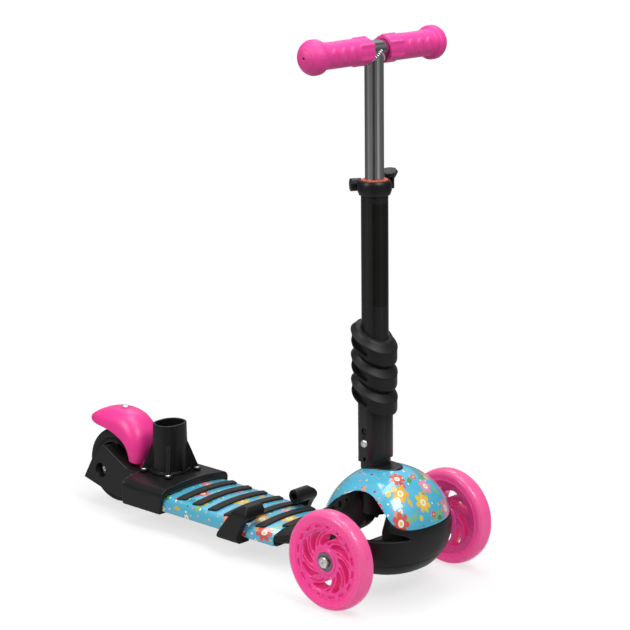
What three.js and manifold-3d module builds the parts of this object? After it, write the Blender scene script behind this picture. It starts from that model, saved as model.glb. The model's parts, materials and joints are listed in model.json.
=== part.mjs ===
// A child's three wheel kick scooter: two light-up wheels on a domed steering fork in front, one braked
// wheel behind, a moulded deck with rubber grip strips, and a height-adjustable T handlebar.
// Millimetres, +X forward, +Y to the rider's left, +Z up. The scooter stands on z = 0.
import * as THREE from 'three';
import { mergeVertices } from 'three/addons/utils/BufferGeometryUtils.js';
import Module from 'manifold-3d';

const wasm = await Module();
wasm.setup();

// Fits
const SEAT_GAP = 0.3;
const RUNNING_GAP = 0.6;
const OVERRUN = 3;
const MERGE_DISTANCE = 0.0001;

// Front wheels and their axle line
const FRONT_WHEEL_RADIUS = 60;
const FRONT_WHEEL_WIDTH = 24;
const FRONT_TRACK = 215;
const FRONT_CORE_RADIUS = 46;
const FRONT_RIM_DEPTH = 8;
const FRONT_CORE_WIDTH = 20;
const FRONT_HUB_RADIUS = 16;
const SWIRL_ARMS = 8;
const SWIRL_ARM_WIDTH = 9;
const SWIRL_ARM_DEPTH = 16;
const SWIRL_TURN_DEGREES = 50;
const SWIRL_GROOVE_WIDTH = 3.4;
const SWIRL_GROOVE_DEPTH = 3;
const LIGHT_MODULES = 3;
const LIGHT_MODULE_LENGTH = 13;
const LIGHT_MODULE_WIDTH = 11;
const LIGHT_MODULE_HEIGHT = 5;
const AXLE_BOLT_RADIUS = 4;
const AXLE_HEAD_RADIUS = 7;
const AXLE_HEAD_HEIGHT = 4;
const AXLE_ROD_RADIUS = 6;
const BEARING_RADIUS = 11;
const BEARING_WIDTH = 7;
const BEARING_SLEEVE_RADIUS = 6;

// Rear wheel
const REAR_WHEEL_RADIUS = 50;
const REAR_WHEEL_WIDTH = 24;
const REAR_CORE_RADIUS = 37;
const REAR_RIM_DEPTH = 5;
const REAR_CORE_WIDTH = 22;
const REAR_HUB_RADIUS = 15;
const REAR_SPOKES = 8;
const REAR_SPOKE_WIDTH = 5;
const WHEELBASE = 472;

// Domed steering fork: an oval moulding whose widest level is its waist
const DOME_CENTRE_X = -7;
const DOME_HALF_LENGTH = 70;
const DOME_HALF_WIDTH = 74;
const DOME_WAIST_Z = 75;
const DOME_RISE = 73;
const DOME_DROP = 63;
const DOME_SQUARENESS = 2.4;
const DOME_BOTTOM_Z = 31;
const COVER_WALL = 3;
const HOUSING_WALL = 3.4;
const COVER_FRONT_Z = 92;
const ARCH_TOP_Z = 128.5;
const ARCH_REAR_X = -66;
const ARCH_FRONT_X = 64;
const COVER_REAR_TOP_X = -42;
const COVER_REAR_FOOT_X = -76;
const LEDGE_Z = 78;
const PAN_SPLIT_Z = 45;
const JAW_WALL = 7;
const JAW_REAR_X = -28;
const BLOCK_REAR_X = 18;
const BLOCK_HALF_WIDTH = 33;
const BLOCK_SCOOP_X = 40;
const AXLE_BOSS_RADIUS = 13;
const CROWN_RADIUS = 22;
const CROWN_UNDER_Z = 128.3;
const CROWN_TOP_Z = 138;

// Steering column: everything on it shares one slightly raked line
const COLUMN_FOOT_X = -24.2;
const COLUMN_RAKE_DEGREES = 0.8;
const COLLAR_OFFSET_X = 9.5;
const COLLAR_HALF_LENGTH = 28.5;
const COLLAR_HALF_WIDTH = 19;
const COLLAR_TOP_Z = 147;
const NECK_RADIUS = 17.8;
const NECK_TOP_Z = 158;
const SPIGOT_RADIUS = 13.6;
const SPIGOT_BORE_RADIUS = 10.5;
const SPIGOT_TOP_Z = 196;
const SPIGOT_FLOOR_Z = 149;
const TUBE_RADIUS = 15.9;
const TUBE_WALL = 1.6;
const TUBE_TOP_Z = 483;
const LOWER_SLEEVE_RADIUS = 20.65;
const LOWER_SLEEVE_BOTTOM_Z = 152;
const LOWER_SLEEVE_TOP_Z = 232;
const LOWER_SLEEVE_SLANT = 4;
const SLEEVE_NOTCH_WIDTH = 5;
const SLEEVE_NOTCH_HEIGHT = 8;
const SCREW_HEAD_HEIGHT = 2;
const SNAP_BUTTON_Z = 189;
const SNAP_BUTTON_RADIUS = 3.6;
const SNAP_BUTTON_TRAVEL = 2.5;
const SNAP_LEAF_THICKNESS = 0.8;
const SNAP_LEAF_LENGTH = 26;
const SNAP_LEAF_WIDTH = 6;

// Spiral sleeve of stacked slanted bands
const BAND_COUNT = 3;
const BAND_PITCH = 30;
const BAND_MIDDLE_Z = 263;
const BAND_RADIUS = 27;
const BAND_HEIGHT = 25;
const BAND_SHOULDER = 8;
const BAND_UNDERCUT = 3;
const BAND_OFFSET_X = -1.5;
const BAND_SLANT_DEGREES = 28;
const BAND_CORE_WALL = 2.6;
const POCKET_HEIGHT = 9;
const POCKET_FRONT_DEGREES = 67;
const POCKET_REAR_DEGREES = 168;

// Telescoping T handlebar and its quick release clamp
const STEM_RADIUS = 11.1;
const STEM_WALL = 1.5;
const STEM_BOTTOM_Z = 332;
const BAR_Z = 633;
const BAR_HALF_LENGTH = 104;
const WELD_RADIUS = 13;
const WELD_HEIGHT = 9;
const STEM_GUIDE_LENGTH = 24;
const BUSH_FLANGE_RADIUS = 13.4;
const BUSH_FLANGE_HEIGHT = 2.2;
const BUSH_LENGTH = 30;
const CLAMP_RADIUS = 20.2;
const CLAMP_TOP_Z = 484;
const CLAMP_HEIGHT = 17;
const CLAMP_SLOT = 3;
const CLAMP_EAR_RADIUS = 5.8;
const CLAMP_EAR_HALF_WIDTH = 11;
const CLAMP_BOLT_RADIUS = 2.5;
const CLAMP_NUT_RADIUS = 6.3;
const CLAMP_NUT_LENGTH = 11;
const CLAMP_TURN_DEGREES = -36;
const CAM_SEAT = 4;
const CAM_RADIUS = 6;
const CAM_HEIGHT = 12;
const LEVER_LENGTH = 56;
const LEVER_WIDTH = 20;
const LEVER_THICKNESS = 6;
const LEVER_RISE = 3;
const LEVER_TURN_DEGREES = 14;

// Grips
const GRIP_INNER_Y = 12;
const GRIP_RADIUS = 15.3;
const GRIP_HEX_RADIUS = 18.4;
const GRIP_HEX_LENGTH = 8;
const GRIP_FLANGE_Y = 92;
const GRIP_FLANGE_RADIUS = 20;
const GRIP_FLANGE_LENGTH = 8;
const GRIP_END_Y = 113;
const GRIP_STEP_DEPTH = 1.4;
const GRIP_PADS = 3;
const GRIP_PAD_RADIUS = 6.6;
const GRIP_PAD_PITCH = 14;
const GRIP_PAD_RISE = 0.9;
const GRIP_PAD_FIRST_Y = 36;
const GRIP_VENT_RADIUS = 1.1;
const GRIP_VENT_DEPTH = 5;

// Deck, its grip strips and the frame under it
const DECK_FRONT_X = -142;
const DECK_REAR_X = -398;
const DECK_HALF_WIDTH = 55;
const DECK_BOTTOM_Z = 28;
const DECK_EDGE_Z = 42;
const DECK_CROWN = 5;
const DECK_EDGE_RADIUS = 4;
const DECK_WALL = 3;
const STRIP_COUNT = 8;
const STRIP_FIRST_X = -336;
const STRIP_PITCH = 27.5;
const STRIP_WIDTH = 12.5;
const STRIP_HALF_LENGTH = 47.5;
const STRIP_FRONT_HALF_LENGTH = 30;
const STRIP_RISE = 3.2;
const STRIP_CHAMFER = 2.2;
const FRAME_SKIN = 3;
const FRAME_RIB = 2.4;
const FRAME_BAYS = 5;
const FRAME_LANES = 3;

// Gooseneck that rises from the deck frame to the steering head
const HEAD_RADIUS = 17;
const HEAD_TOP_Z = 126;
const HEAD_BOTTOM_Z = 87;
const HEAD_BORE_RADIUS = 10;
const HEAD_POCKET_RADIUS = 13;
const HEAD_POCKET_TOP_Z = 100;
const NECK_SHOULDER_Z = 118;
const NECK_SKIN = 9;
const NECK_FIN = 3.2;
const NECK_POCKETS = 3;

// Steering bearing on the gooseneck's head
const STEER_BOLT_RADIUS = 4;
const STEER_SHOULDER_RADIUS = 7;
const STEER_FLANGE_RADIUS = 15;
const STEER_FLANGE = 1.6;
const STEER_BUSH_LENGTH = 11;
const STEER_WASHER_RADIUS = 11;
const STEER_WASHER = 2;
const STEER_NUT_RADIUS = 7.5;
const STEER_NUT_HEIGHT = 6;
const STEER_HEAD_HEIGHT = 5.3;

// Rear housing that grips the deck's end and carries the wheel between two arms
const HOUSING_HALF_WIDTH = 60;
const HOUSING_TOP_Z = 62;
const HOUSING_BOTTOM_Z = 24.4;
const HOUSING_CORNER = 9;
const HOUSING_SHELL = 4.2;
const HOUSING_REAR_X = -406;
const HOUSING_FRONT_TOP_X = -330;
const HOUSING_FRONT_BOTTOM_X = -341;
const ARM_INNER_Y = 17.5;
const ARM_OUTER_Y = 37;
const ARM_RECESS_RADIUS = 9.5;
const ARM_RECESS_DEPTH = 11;
const ARM_TOP_Z = 84;
const ARM_BOTTOM_Z = 20;
const ARM_REAR_REACH = 33;

// Seat post socket
const SOCKET_X = -378;
const SOCKET_HALF_LENGTH = 19;
const SOCKET_HALF_WIDTH = 23;
const SOCKET_WALL = 3.2;
const SOCKET_TOP_Z = 126;
const SOCKET_BASE_HEIGHT = 3;
const SOCKET_BASE_HALF_LENGTH = 28;
const SOCKET_BASE_HALF_WIDTH = 32;
const SOCKET_FLARE = 5;
const SOCKET_FLARE_Z = 88;
const SOCKET_RIB = 3.4;
const SOCKET_RIB_REACH = 38;
const SOCKET_RIB_TOP_Z = 104;
const SOCKET_SCREW_X = 22.5;
const SOCKET_SCREW_Y = 25.5;
const SOCKET_SCREW_HOLE = 1.8;

// Fender brake
const HINGE_X = -413;
const HINGE_Z = 54;
const HINGE_PIN_RADIUS = 2.5;
const HINGE_BARREL_RADIUS = 5.4;
const FENDER_HALF_WIDTH = 28;
const FENDER_SKIRT_RADIUS = 56;
const FENDER_CREST_RADIUS = 82.5;
const FENDER_WALL = 3.4;
const FENDER_START_DEGREES = 16;
const FENDER_END_DEGREES = 134;
const FENDER_TONGUE_HALF_WIDTH = 15;
const FENDER_SPRING_HALF_WIDTH = 4;
const BRAKE_PAD_GAP = 4.6;
const BRAKE_PAD_DEGREES = 83;
const BRAKE_PAD_LENGTH = 22;
const BRAKE_PAD_HALF_WIDTH = 8;
const BRAKE_SCREW_RADIUS = 2.5;
const BRAKE_SCREW_HEAD = 5;

// Clips that take the front bracket of a seat
const CLIP_X = -191;
const CLIP_BOSS_Z = 60;
const CLIP_BOSS_RADIUS = 8;
const CLIP_BORE_RADIUS = 4;
const CLIP_BORE_DEPTH = 30;
const CLIP_BOSS_INNER_Y = 26;
const CLIP_PLATE = 5;
const CLIP_FOOT_REAR_X = -229;
const CLIP_FOOT_FRONT_X = -198;
const CLIP_FOOT_Z = 20;
const CLIP_FOOT_REACH = 20;

// Facets
const RIM_STEPS = 24;
const TUBE_STEPS = 16;
const BEARING_STEPS = 12;
const SMALL_STEPS = 8;
const DOME_STEPS = 20;
const ARC_STEPS = 2;

// Materials
function finish(color, roughness, metalness = 0) {
  return new THREE.MeshStandardMaterial({ color, roughness, metalness, flatShading: true });
}
const PINK = finish(0xf0409a, 0.45);
const CLEAR_PINK = finish(0xff5fae, 0.25);
const BLACK = finish(0x1b1c1d, 0.42);
const SATIN_BLACK = finish(0x26262a, 0.5);
const RUBBER = finish(0x2b2b2c, 0.8);
const PRINT_BLUE = finish(0x49b6df, 0.25);
const CHROME = finish(0xc9cdd0, 0.16, 1);
const STEEL = finish(0xa6a9ab, 0.35, 1);
const ORANGE = finish(0xd8593c, 0.5);
const CLEAR = finish(0xd9dde2, 0.15);

// Solids
const radians = (degrees) => THREE.MathUtils.degToRad(degrees);

function signedVolume(geometry) {
  const points = geometry.attributes.position;
  const index = geometry.index.array;
  const corners = [new THREE.Vector3(), new THREE.Vector3(), new THREE.Vector3()];
  let volume = 0;
  for (let i = 0; i < index.length; i += 3) {
    corners.forEach((corner, k) => corner.fromBufferAttribute(points, index[i + k]));
    volume += corners[0].dot(corners[1].cross(corners[2])) / 6;
  }
  return volume;
}

// Welds the shared vertices and turns every face outwards
function closed(geometry) {
  const bare = geometry.clone();
  bare.deleteAttribute('normal');
  bare.deleteAttribute('uv');
  const welded = mergeVertices(bare, MERGE_DISTANCE);
  if (signedVolume(welded) < 0) {
    const index = welded.index.array;
    for (let i = 0; i < index.length; i += 3) [index[i + 1], index[i + 2]] = [index[i + 2], index[i + 1]];
  }
  return welded;
}

function toManifold(geometry) {
  const welded = closed(geometry);
  const vertProperties = new Float32Array(welded.attributes.position.array);
  const triVerts = new Uint32Array(welded.index.array);
  return new wasm.Manifold(new wasm.Mesh({ numProp: 3, vertProperties, triVerts }));
}

function toGeometry(manifold) {
  const mesh = manifold.getMesh();
  const geometry = new THREE.BufferGeometry();
  geometry.setAttribute('position', new THREE.Float32BufferAttribute(mesh.vertProperties, 3));
  geometry.setIndex(new THREE.BufferAttribute(new Uint32Array(mesh.triVerts), 1));
  return geometry;
}

function join(first, ...others) {
  return toGeometry(others.reduce((body, other) => body.add(toManifold(other)), toManifold(first)));
}

function cut(first, ...others) {
  return toGeometry(others.reduce((body, other) => body.subtract(toManifold(other)), toManifold(first)));
}

function common(first, second) {
  return toGeometry(toManifold(first).intersect(toManifold(second)));
}

function mirrored(geometry) {
  return closed(geometry.clone().scale(1, -1, 1));
}

function outline(points) {
  return new THREE.Shape(points.map(([x, y]) => new THREE.Vector2(x, y)));
}

function extruded(shape, depth) {
  return new THREE.ExtrudeGeometry(shape, { depth, bevelEnabled: false, curveSegments: ARC_STEPS });
}

// Outline drawn in X and Y, standing from one height to another
function alongZ(shape, from, to) {
  return extruded(shape, to - from).translate(0, 0, from);
}

// Outline drawn in X and Z, running across the scooter
function alongY(shape, from, to) {
  return extruded(shape, to - from).rotateX(Math.PI / 2).translate(0, to, 0);
}

// Outline drawn in Y and Z, running along the scooter
function alongX(shape, from, to) {
  const turn = new THREE.Matrix4().makeBasis(
    new THREE.Vector3(0, 1, 0), new THREE.Vector3(0, 0, 1), new THREE.Vector3(1, 0, 0));
  return extruded(shape, to - from).applyMatrix4(turn).translate(from, 0, 0);
}

function block(fromX, toX, fromY, toY, fromZ, toZ) {
  return new THREE.BoxGeometry(toX - fromX, toY - fromY, toZ - fromZ)
    .translate((fromX + toX) / 2, (fromY + toY) / 2, (fromZ + toZ) / 2);
}

function rodZ(radius, from, to, steps = TUBE_STEPS) {
  return new THREE.CylinderGeometry(radius, radius, to - from, steps)
    .rotateX(Math.PI / 2).translate(0, 0, (from + to) / 2);
}

function rodY(radius, from, to, steps = TUBE_STEPS) {
  return new THREE.CylinderGeometry(radius, radius, to - from, steps).translate(0, (from + to) / 2, 0);
}

function rodX(radius, from, to, steps = TUBE_STEPS) {
  return new THREE.CylinderGeometry(radius, radius, to - from, steps)
    .rotateZ(Math.PI / 2).translate((from + to) / 2, 0, 0);
}

// A closed profile of [radius, place] pairs turned about the Y axis, or stood up about the Z axis
function turnedY(profile, steps = TUBE_STEPS) {
  return closed(new THREE.LatheGeometry(profile.map(([r, y]) => new THREE.Vector2(r, y)), steps));
}

function turnedZ(profile, steps = TUBE_STEPS) {
  return turnedY(profile, steps).rotateX(Math.PI / 2);
}

function ringProfile(inner, outer, from, to) {
  return [[inner, from], [outer, from], [outer, to], [inner, to], [inner, from]];
}

function tubeZ(inner, outer, from, to, steps = TUBE_STEPS) {
  return turnedZ(ringProfile(inner, outer, from, to), steps);
}

function tubeY(inner, outer, from, to, steps = TUBE_STEPS) {
  return turnedY(ringProfile(inner, outer, from, to), steps);
}

// A closed skin through rings of points that all turn the same way, with a fan over each end
function loft(rings) {
  const count = rings[0].length;
  const ends = [rings[0], rings[rings.length - 1]].map((ring) => {
    const middle = new THREE.Vector3();
    ring.forEach((point) => middle.addScaledVector(point, 1 / count));
    return middle;
  });
  const points = [...rings.flat(), ...ends];
  const index = [];
  for (let level = 0; level + 1 < rings.length; level += 1) {
    for (let i = 0; i < count; i += 1) {
      const here = level * count + i;
      const next = level * count + ((i + 1) % count);
      index.push(here, next, next + count, here, next + count, here + count);
    }
  }
  const last = (rings.length - 1) * count;
  for (let i = 0; i < count; i += 1) {
    const next = (i + 1) % count;
    index.push(rings.length * count, next, i);
    index.push(rings.length * count + 1, last + i, last + next);
  }
  const geometry = new THREE.BufferGeometry().setFromPoints(points);
  geometry.setIndex(index);
  return closed(geometry);
}

// The points of a rounded oval, from round (2) towards square
function ovalPoints(halfLength, halfWidth, squareness, steps) {
  const power = 2 / squareness;
  return Array.from({ length: steps }, (_, i) => {
    const angle = (i / steps) * 2 * Math.PI;
    const along = Math.sign(Math.cos(angle)) * Math.abs(Math.cos(angle)) ** power;
    const across = Math.sign(Math.sin(angle)) * Math.abs(Math.sin(angle)) ** power;
    return new THREE.Vector2(halfLength * along, halfWidth * across);
  });
}

// The fender's crest, as shares of its height over the skirt, from the hinge end to the tip
const fenderCrestShares = [0.22, 0.58, 0.85, 1, 0.94, 0.87, 0.81, 0.75];
const brakeCrestShare = 0.94;
const crestRadiusAt = (share) => FENDER_SKIRT_RADIUS + share * (FENDER_CREST_RADIUS - FENDER_SKIRT_RADIUS);

// Placing
const scooter = new THREE.Group();
const frontMost = Math.max(FRONT_WHEEL_RADIUS, DOME_CENTRE_X + DOME_HALF_LENGTH);
const tipRadius = crestRadiusAt(fenderCrestShares[fenderCrestShares.length - 1]);
const fenderTip = -WHEELBASE + tipRadius * Math.cos(radians(FENDER_END_DEGREES));
const rearMost = Math.min(-WHEELBASE - REAR_WHEEL_RADIUS, -WHEELBASE - ARM_REAR_REACH, fenderTip);
const chassis = new THREE.Group();
chassis.position.x = -(frontMost + rearMost) / 2;
scooter.add(chassis);

const column = new THREE.Group();
column.position.x = COLUMN_FOOT_X;
column.rotation.y = -radians(COLUMN_RAKE_DEGREES);
column.updateMatrix();
chassis.add(column);

function piece(name, geometry, material, parent = chassis) {
  const mesh = new THREE.Mesh(closed(geometry), material);
  mesh.name = name;
  parent.add(mesh);
  return mesh;
}

// A solid made about the column's line, set where the column stands
function onColumn(geometry) {
  return geometry.clone().applyMatrix4(column.matrix);
}

const columnXAt = (z) => COLUMN_FOOT_X - z * Math.tan(radians(COLUMN_RAKE_DEGREES));

// Front wheels
function swirlBand(fromRadius, toRadius, width, startAngle, stationShares) {
  const curlShare = 1.4;
  const sweep = radians(SWIRL_TURN_DEGREES);
  const span = FRONT_CORE_RADIUS - FRONT_RIM_DEPTH - FRONT_HUB_RADIUS;
  const edge = (side) => stationShares.map((share) => {
    const radius = fromRadius + share * (toRadius - fromRadius);
    const bend = Math.max((radius - FRONT_HUB_RADIUS) / span, 0) ** curlShare;
    const angle = startAngle - sweep * bend + (side * width) / (2 * radius);
    return [radius * Math.cos(angle), radius * Math.sin(angle)];
  });
  return outline([...edge(-1), ...edge(1).reverse()]);
}

// Core with a rim, a hub and grooved arms that curl between them, like water round a drain
function frontCore() {
  const rimInner = FRONT_CORE_RADIUS - FRONT_RIM_DEPTH;
  const halfWidth = FRONT_CORE_WIDTH / 2;
  const halfArm = SWIRL_ARM_DEPTH / 2;
  const hub = rodY(FRONT_HUB_RADIUS, -halfWidth, halfWidth);
  const rim = tubeY(rimInner, FRONT_CORE_RADIUS, -halfWidth, halfWidth, RIM_STEPS);
  const arms = [];
  const grooves = [];
  for (let i = 0; i < SWIRL_ARMS; i += 1) {
    const angle = (i / SWIRL_ARMS) * 2 * Math.PI;
    const arm = swirlBand(FRONT_HUB_RADIUS - OVERRUN / 2, rimInner + OVERRUN / 2, SWIRL_ARM_WIDTH, angle,
      [0, 0.35, 0.7, 1]);
    const grooveEnd = rimInner - SWIRL_GROOVE_WIDTH;
    const groove = swirlBand(FRONT_HUB_RADIUS + SWIRL_GROOVE_WIDTH, grooveEnd, SWIRL_GROOVE_WIDTH, angle,
      [0, 0.5, 1]);
    arms.push(alongY(arm, -halfArm, halfArm));
    grooves.push(alongY(groove, -halfArm - OVERRUN, -halfArm + SWIRL_GROOVE_DEPTH));
  }
  const pockets = moduleBlocks(LIGHT_MODULE_LENGTH + SEAT_GAP, LIGHT_MODULE_WIDTH + SEAT_GAP,
    moduleTop - LIGHT_MODULE_HEIGHT - SEAT_GAP, FRONT_CORE_RADIUS + OVERRUN);
  return cut(join(hub, rim, ...arms), ...grooves, ...pockets, ...bearingSeats(halfWidth));
}

// The bore of a wheel's hub, with a seat for a bearing in each face
function bearingSeats(halfWidth) {
  const seat = BEARING_RADIUS + SEAT_GAP;
  const depth = halfWidth - BEARING_WIDTH - SEAT_GAP;
  const reach = halfWidth + OVERRUN;
  return [
    rodY(BEARING_SLEEVE_RADIUS + RUNNING_GAP, -reach, reach, SMALL_STEPS),
    rodY(seat, -reach, -depth, BEARING_STEPS),
    rodY(seat, depth, reach, BEARING_STEPS),
  ];
}

// Light blocks let into the outside of the core's rim
const rimFlat = FRONT_CORE_RADIUS * Math.cos(Math.PI / RIM_STEPS);
const moduleTop = Math.sqrt(rimFlat ** 2 - (LIGHT_MODULE_LENGTH / 2) ** 2) - SEAT_GAP;

function moduleBlocks(length, width, floor, top) {
  return Array.from({ length: LIGHT_MODULES }, (_, i) => {
    const angle = (i / LIGHT_MODULES) * 2 * Math.PI + Math.PI / 6;
    return block(-length / 2, length / 2, -width / 2, width / 2, floor, top).rotateY(angle);
  });
}

function lightModules() {
  return moduleBlocks(LIGHT_MODULE_LENGTH - SEAT_GAP, LIGHT_MODULE_WIDTH - SEAT_GAP,
    moduleTop - LIGHT_MODULE_HEIGHT, moduleTop);
}

// A tyre's section: flat tread, round shoulders and straight walls down to the core
function tyre(radius, coreRadius, width) {
  const inner = coreRadius + SEAT_GAP;
  const half = width / 2;
  const depth = radius - inner;
  const widthShares = [0.86, 1, 0.86, 0.4];
  const heightShares = [0, 0.42, 0.8, 1];
  const side = widthShares.map((share, i) => [inner + heightShares[i] * depth, -share * half]);
  const otherSide = side.map(([r, y]) => [r, -y]).reverse();
  return turnedY([...side, ...otherSide, side[0]], RIM_STEPS);
}

// A hub's two bearings on the sleeve that keeps them apart
function bearingSet(halfWidth) {
  const bore = AXLE_BOLT_RADIUS + SEAT_GAP;
  const within = halfWidth - BEARING_WIDTH;
  const half = [[bore, -halfWidth], [BEARING_RADIUS, -halfWidth], [BEARING_RADIUS, -within],
    [BEARING_SLEEVE_RADIUS, -within]];
  const otherHalf = half.map(([r, y]) => [r, -y]).reverse();
  return turnedY([...half, ...otherHalf, half[0]], BEARING_STEPS);
}

function axleBolt(shank, headInner) {
  const head = headInner + AXLE_HEAD_HEIGHT;
  const body = turnedY([[0, headInner - shank], [AXLE_BOLT_RADIUS, headInner - shank],
    [AXLE_BOLT_RADIUS, headInner], [AXLE_HEAD_RADIUS, headInner],
    [AXLE_HEAD_RADIUS, head - AXLE_HEAD_HEIGHT / 2], [AXLE_HEAD_RADIUS / 2, head], [0, head]], SMALL_STEPS);
  const socket = rodY(AXLE_BOLT_RADIUS / 2, head - AXLE_HEAD_HEIGHT / 2, head + OVERRUN, 6);
  return cut(body, socket);
}

function frontWheel(side, sign) {
  const wheel = new THREE.Group();
  wheel.position.set(0, (sign * FRONT_TRACK) / 2, FRONT_WHEEL_RADIUS);
  chassis.add(wheel);
  const handed = (geometry) => (sign < 0 ? geometry : mirrored(geometry));
  piece(`front_core_${side}`, handed(frontCore()), PINK, wheel);
  piece(`front_tyre_${side}`, tyre(FRONT_WHEEL_RADIUS, FRONT_CORE_RADIUS, FRONT_WHEEL_WIDTH), CLEAR_PINK, wheel);
  lightModules().forEach((module, i) => piece(`light_module_${side}_${i + 1}`, handed(module), CLEAR, wheel));
  piece(`front_bearings_${side}`, bearingSet(FRONT_CORE_WIDTH / 2), STEEL, wheel);
}

// The axle rod crosses the fork's jaw, and a bolt at each end holds a wheel on it
const rodHalfLength = FRONT_TRACK / 2 - FRONT_CORE_WIDTH / 2 - SEAT_GAP;
const axleShankDepth = FRONT_CORE_WIDTH + rodHalfLength / 3;

function frontAxle() {
  const rod = rodY(AXLE_ROD_RADIUS, -rodHalfLength, rodHalfLength);
  const reach = rodHalfLength + OVERRUN;
  const floor = reach - axleShankDepth;
  const bores = [[-reach, -floor], [floor, reach]].map(([from, to]) =>
    rodY(AXLE_BOLT_RADIUS + SEAT_GAP, from, to, SMALL_STEPS));
  return cut(rod, ...bores).translate(0, 0, FRONT_WHEEL_RADIUS);
}

// Domed fork. Levels of its skin lie closer together towards the top, where it flattens
const domeReach = 2 * (DOME_HALF_LENGTH + DOME_HALF_WIDTH);

function domeRing(z, inset) {
  const height = (z >= DOME_WAIST_Z ? DOME_RISE : DOME_DROP) - inset;
  const level = Math.min(Math.abs(z - DOME_WAIST_Z) / height, 1);
  const shrink = Math.sqrt(1 - level * level);
  const oval = ovalPoints((DOME_HALF_LENGTH - inset) * shrink, (DOME_HALF_WIDTH - inset) * shrink,
    DOME_SQUARENESS, DOME_STEPS);
  return oval.map((point) => new THREE.Vector3(DOME_CENTRE_X + point.x, point.y, z));
}

function domeUpper(inset, from) {
  const riseShares = [0, 0.34, 0.62, 0.83, 0.95, 0.995];
  const rise = DOME_RISE - inset;
  const levels = riseShares.map((share) => DOME_WAIST_Z + rise * share).filter((z) => z > from);
  return loft([from, ...levels].map((z) => domeRing(z, inset)));
}

function domeLower(inset, from, to) {
  const levelShares = [0, 0.2, 0.55, 1];
  return loft(levelShares.map((share) => domeRing(from + share * (to - from), inset)));
}

// The side arch as the fork's side shows it: up from the rear foot, over, and down to the front
function belowArch(lift) {
  const rise = ARCH_TOP_Z - COVER_FRONT_Z;
  const length = ARCH_FRONT_X - ARCH_REAR_X;
  const lengthShares = [0, 0.13, 0.25, 0.37, 0.49, 0.62, 0.75, 0.86, 1];
  const riseShares = [0, 0.3, 0.68, 0.92, 1, 0.92, 0.62, 0.24, 0];
  const edge = lengthShares.map((share, i) =>
    [ARCH_REAR_X + share * length, COVER_FRONT_Z + riseShares[i] * rise + lift]);
  const foot = COVER_FRONT_Z + lift;
  const shape = outline([[-domeReach, 0], [domeReach, 0], [domeReach, foot], ...edge.reverse(), [-domeReach, foot]]);
  return alongY(shape, -domeReach, domeReach);
}

function belowLevel(z) {
  return block(-domeReach, domeReach, -domeReach, domeReach, -domeReach, z);
}

function aboveLevel(z) {
  return block(-domeReach, domeReach, -domeReach, domeReach, z, domeReach);
}

// Everything behind the jaw, whose rear edges are rounded off in plan
function behindJaw() {
  const corner = (DOME_CENTRE_X - JAW_REAR_X) / 2;
  const shape = outline([[-domeReach, -domeReach], [JAW_REAR_X + corner, -domeReach],
    [JAW_REAR_X, corner - DOME_HALF_WIDTH], [JAW_REAR_X, DOME_HALF_WIDTH - corner],
    [JAW_REAR_X + corner, domeReach], [-domeReach, domeReach]]);
  return alongZ(shape, -domeReach, domeReach);
}

function collarOval(clearance, from, to) {
  const centre = columnXAt(COLLAR_TOP_Z) + COLLAR_OFFSET_X;
  const points = ovalPoints(COLLAR_HALF_LENGTH + clearance, COLLAR_HALF_WIDTH + clearance, 2, TUBE_STEPS);
  return alongZ(new THREE.Shape(points), from, to).translate(centre, 0, 0);
}

// Printed cover: a thin dome, arched over each side and open behind and under the column's collar
function domeCover() {
  const shell = cut(domeUpper(0, LEDGE_Z), domeUpper(COVER_WALL, DOME_WAIST_Z));
  const fall = (COVER_REAR_TOP_X - COVER_REAR_FOOT_X) / (CROWN_TOP_Z - COVER_FRONT_Z);
  const top = DOME_WAIST_Z + DOME_RISE + OVERRUN;
  const rearTop = COVER_REAR_TOP_X + fall * (top - CROWN_TOP_Z);
  const rearFoot = COVER_REAR_FOOT_X - fall * COVER_FRONT_Z;
  const behind = outline([[-domeReach, 0], [rearFoot, 0], [rearTop, top], [-domeReach, top]]);
  return cut(shell, belowArch(0), alongY(behind, -domeReach, domeReach), collarOval(SEAT_GAP, CROWN_UNDER_Z, top));
}

// The solid part in front, seen from above: its sides stand back from the jaw and sweep out to the dome
function frontBlockPlan() {
  const out = DOME_HALF_WIDTH;
  const sideShares = [[0, 0], [0.45, 0.06], [0.8, 0.3], [1, 1]];
  const side = sideShares.map(([along, across]) => [
    BLOCK_REAR_X + along * BLOCK_SCOOP_X,
    BLOCK_HALF_WIDTH + across * (out - BLOCK_HALF_WIDTH),
  ]);
  const otherSide = side.map(([x, y]) => [x, -y]).reverse();
  return outline([...otherSide, ...side, [domeReach, out], [domeReach, -out]]);
}

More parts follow.
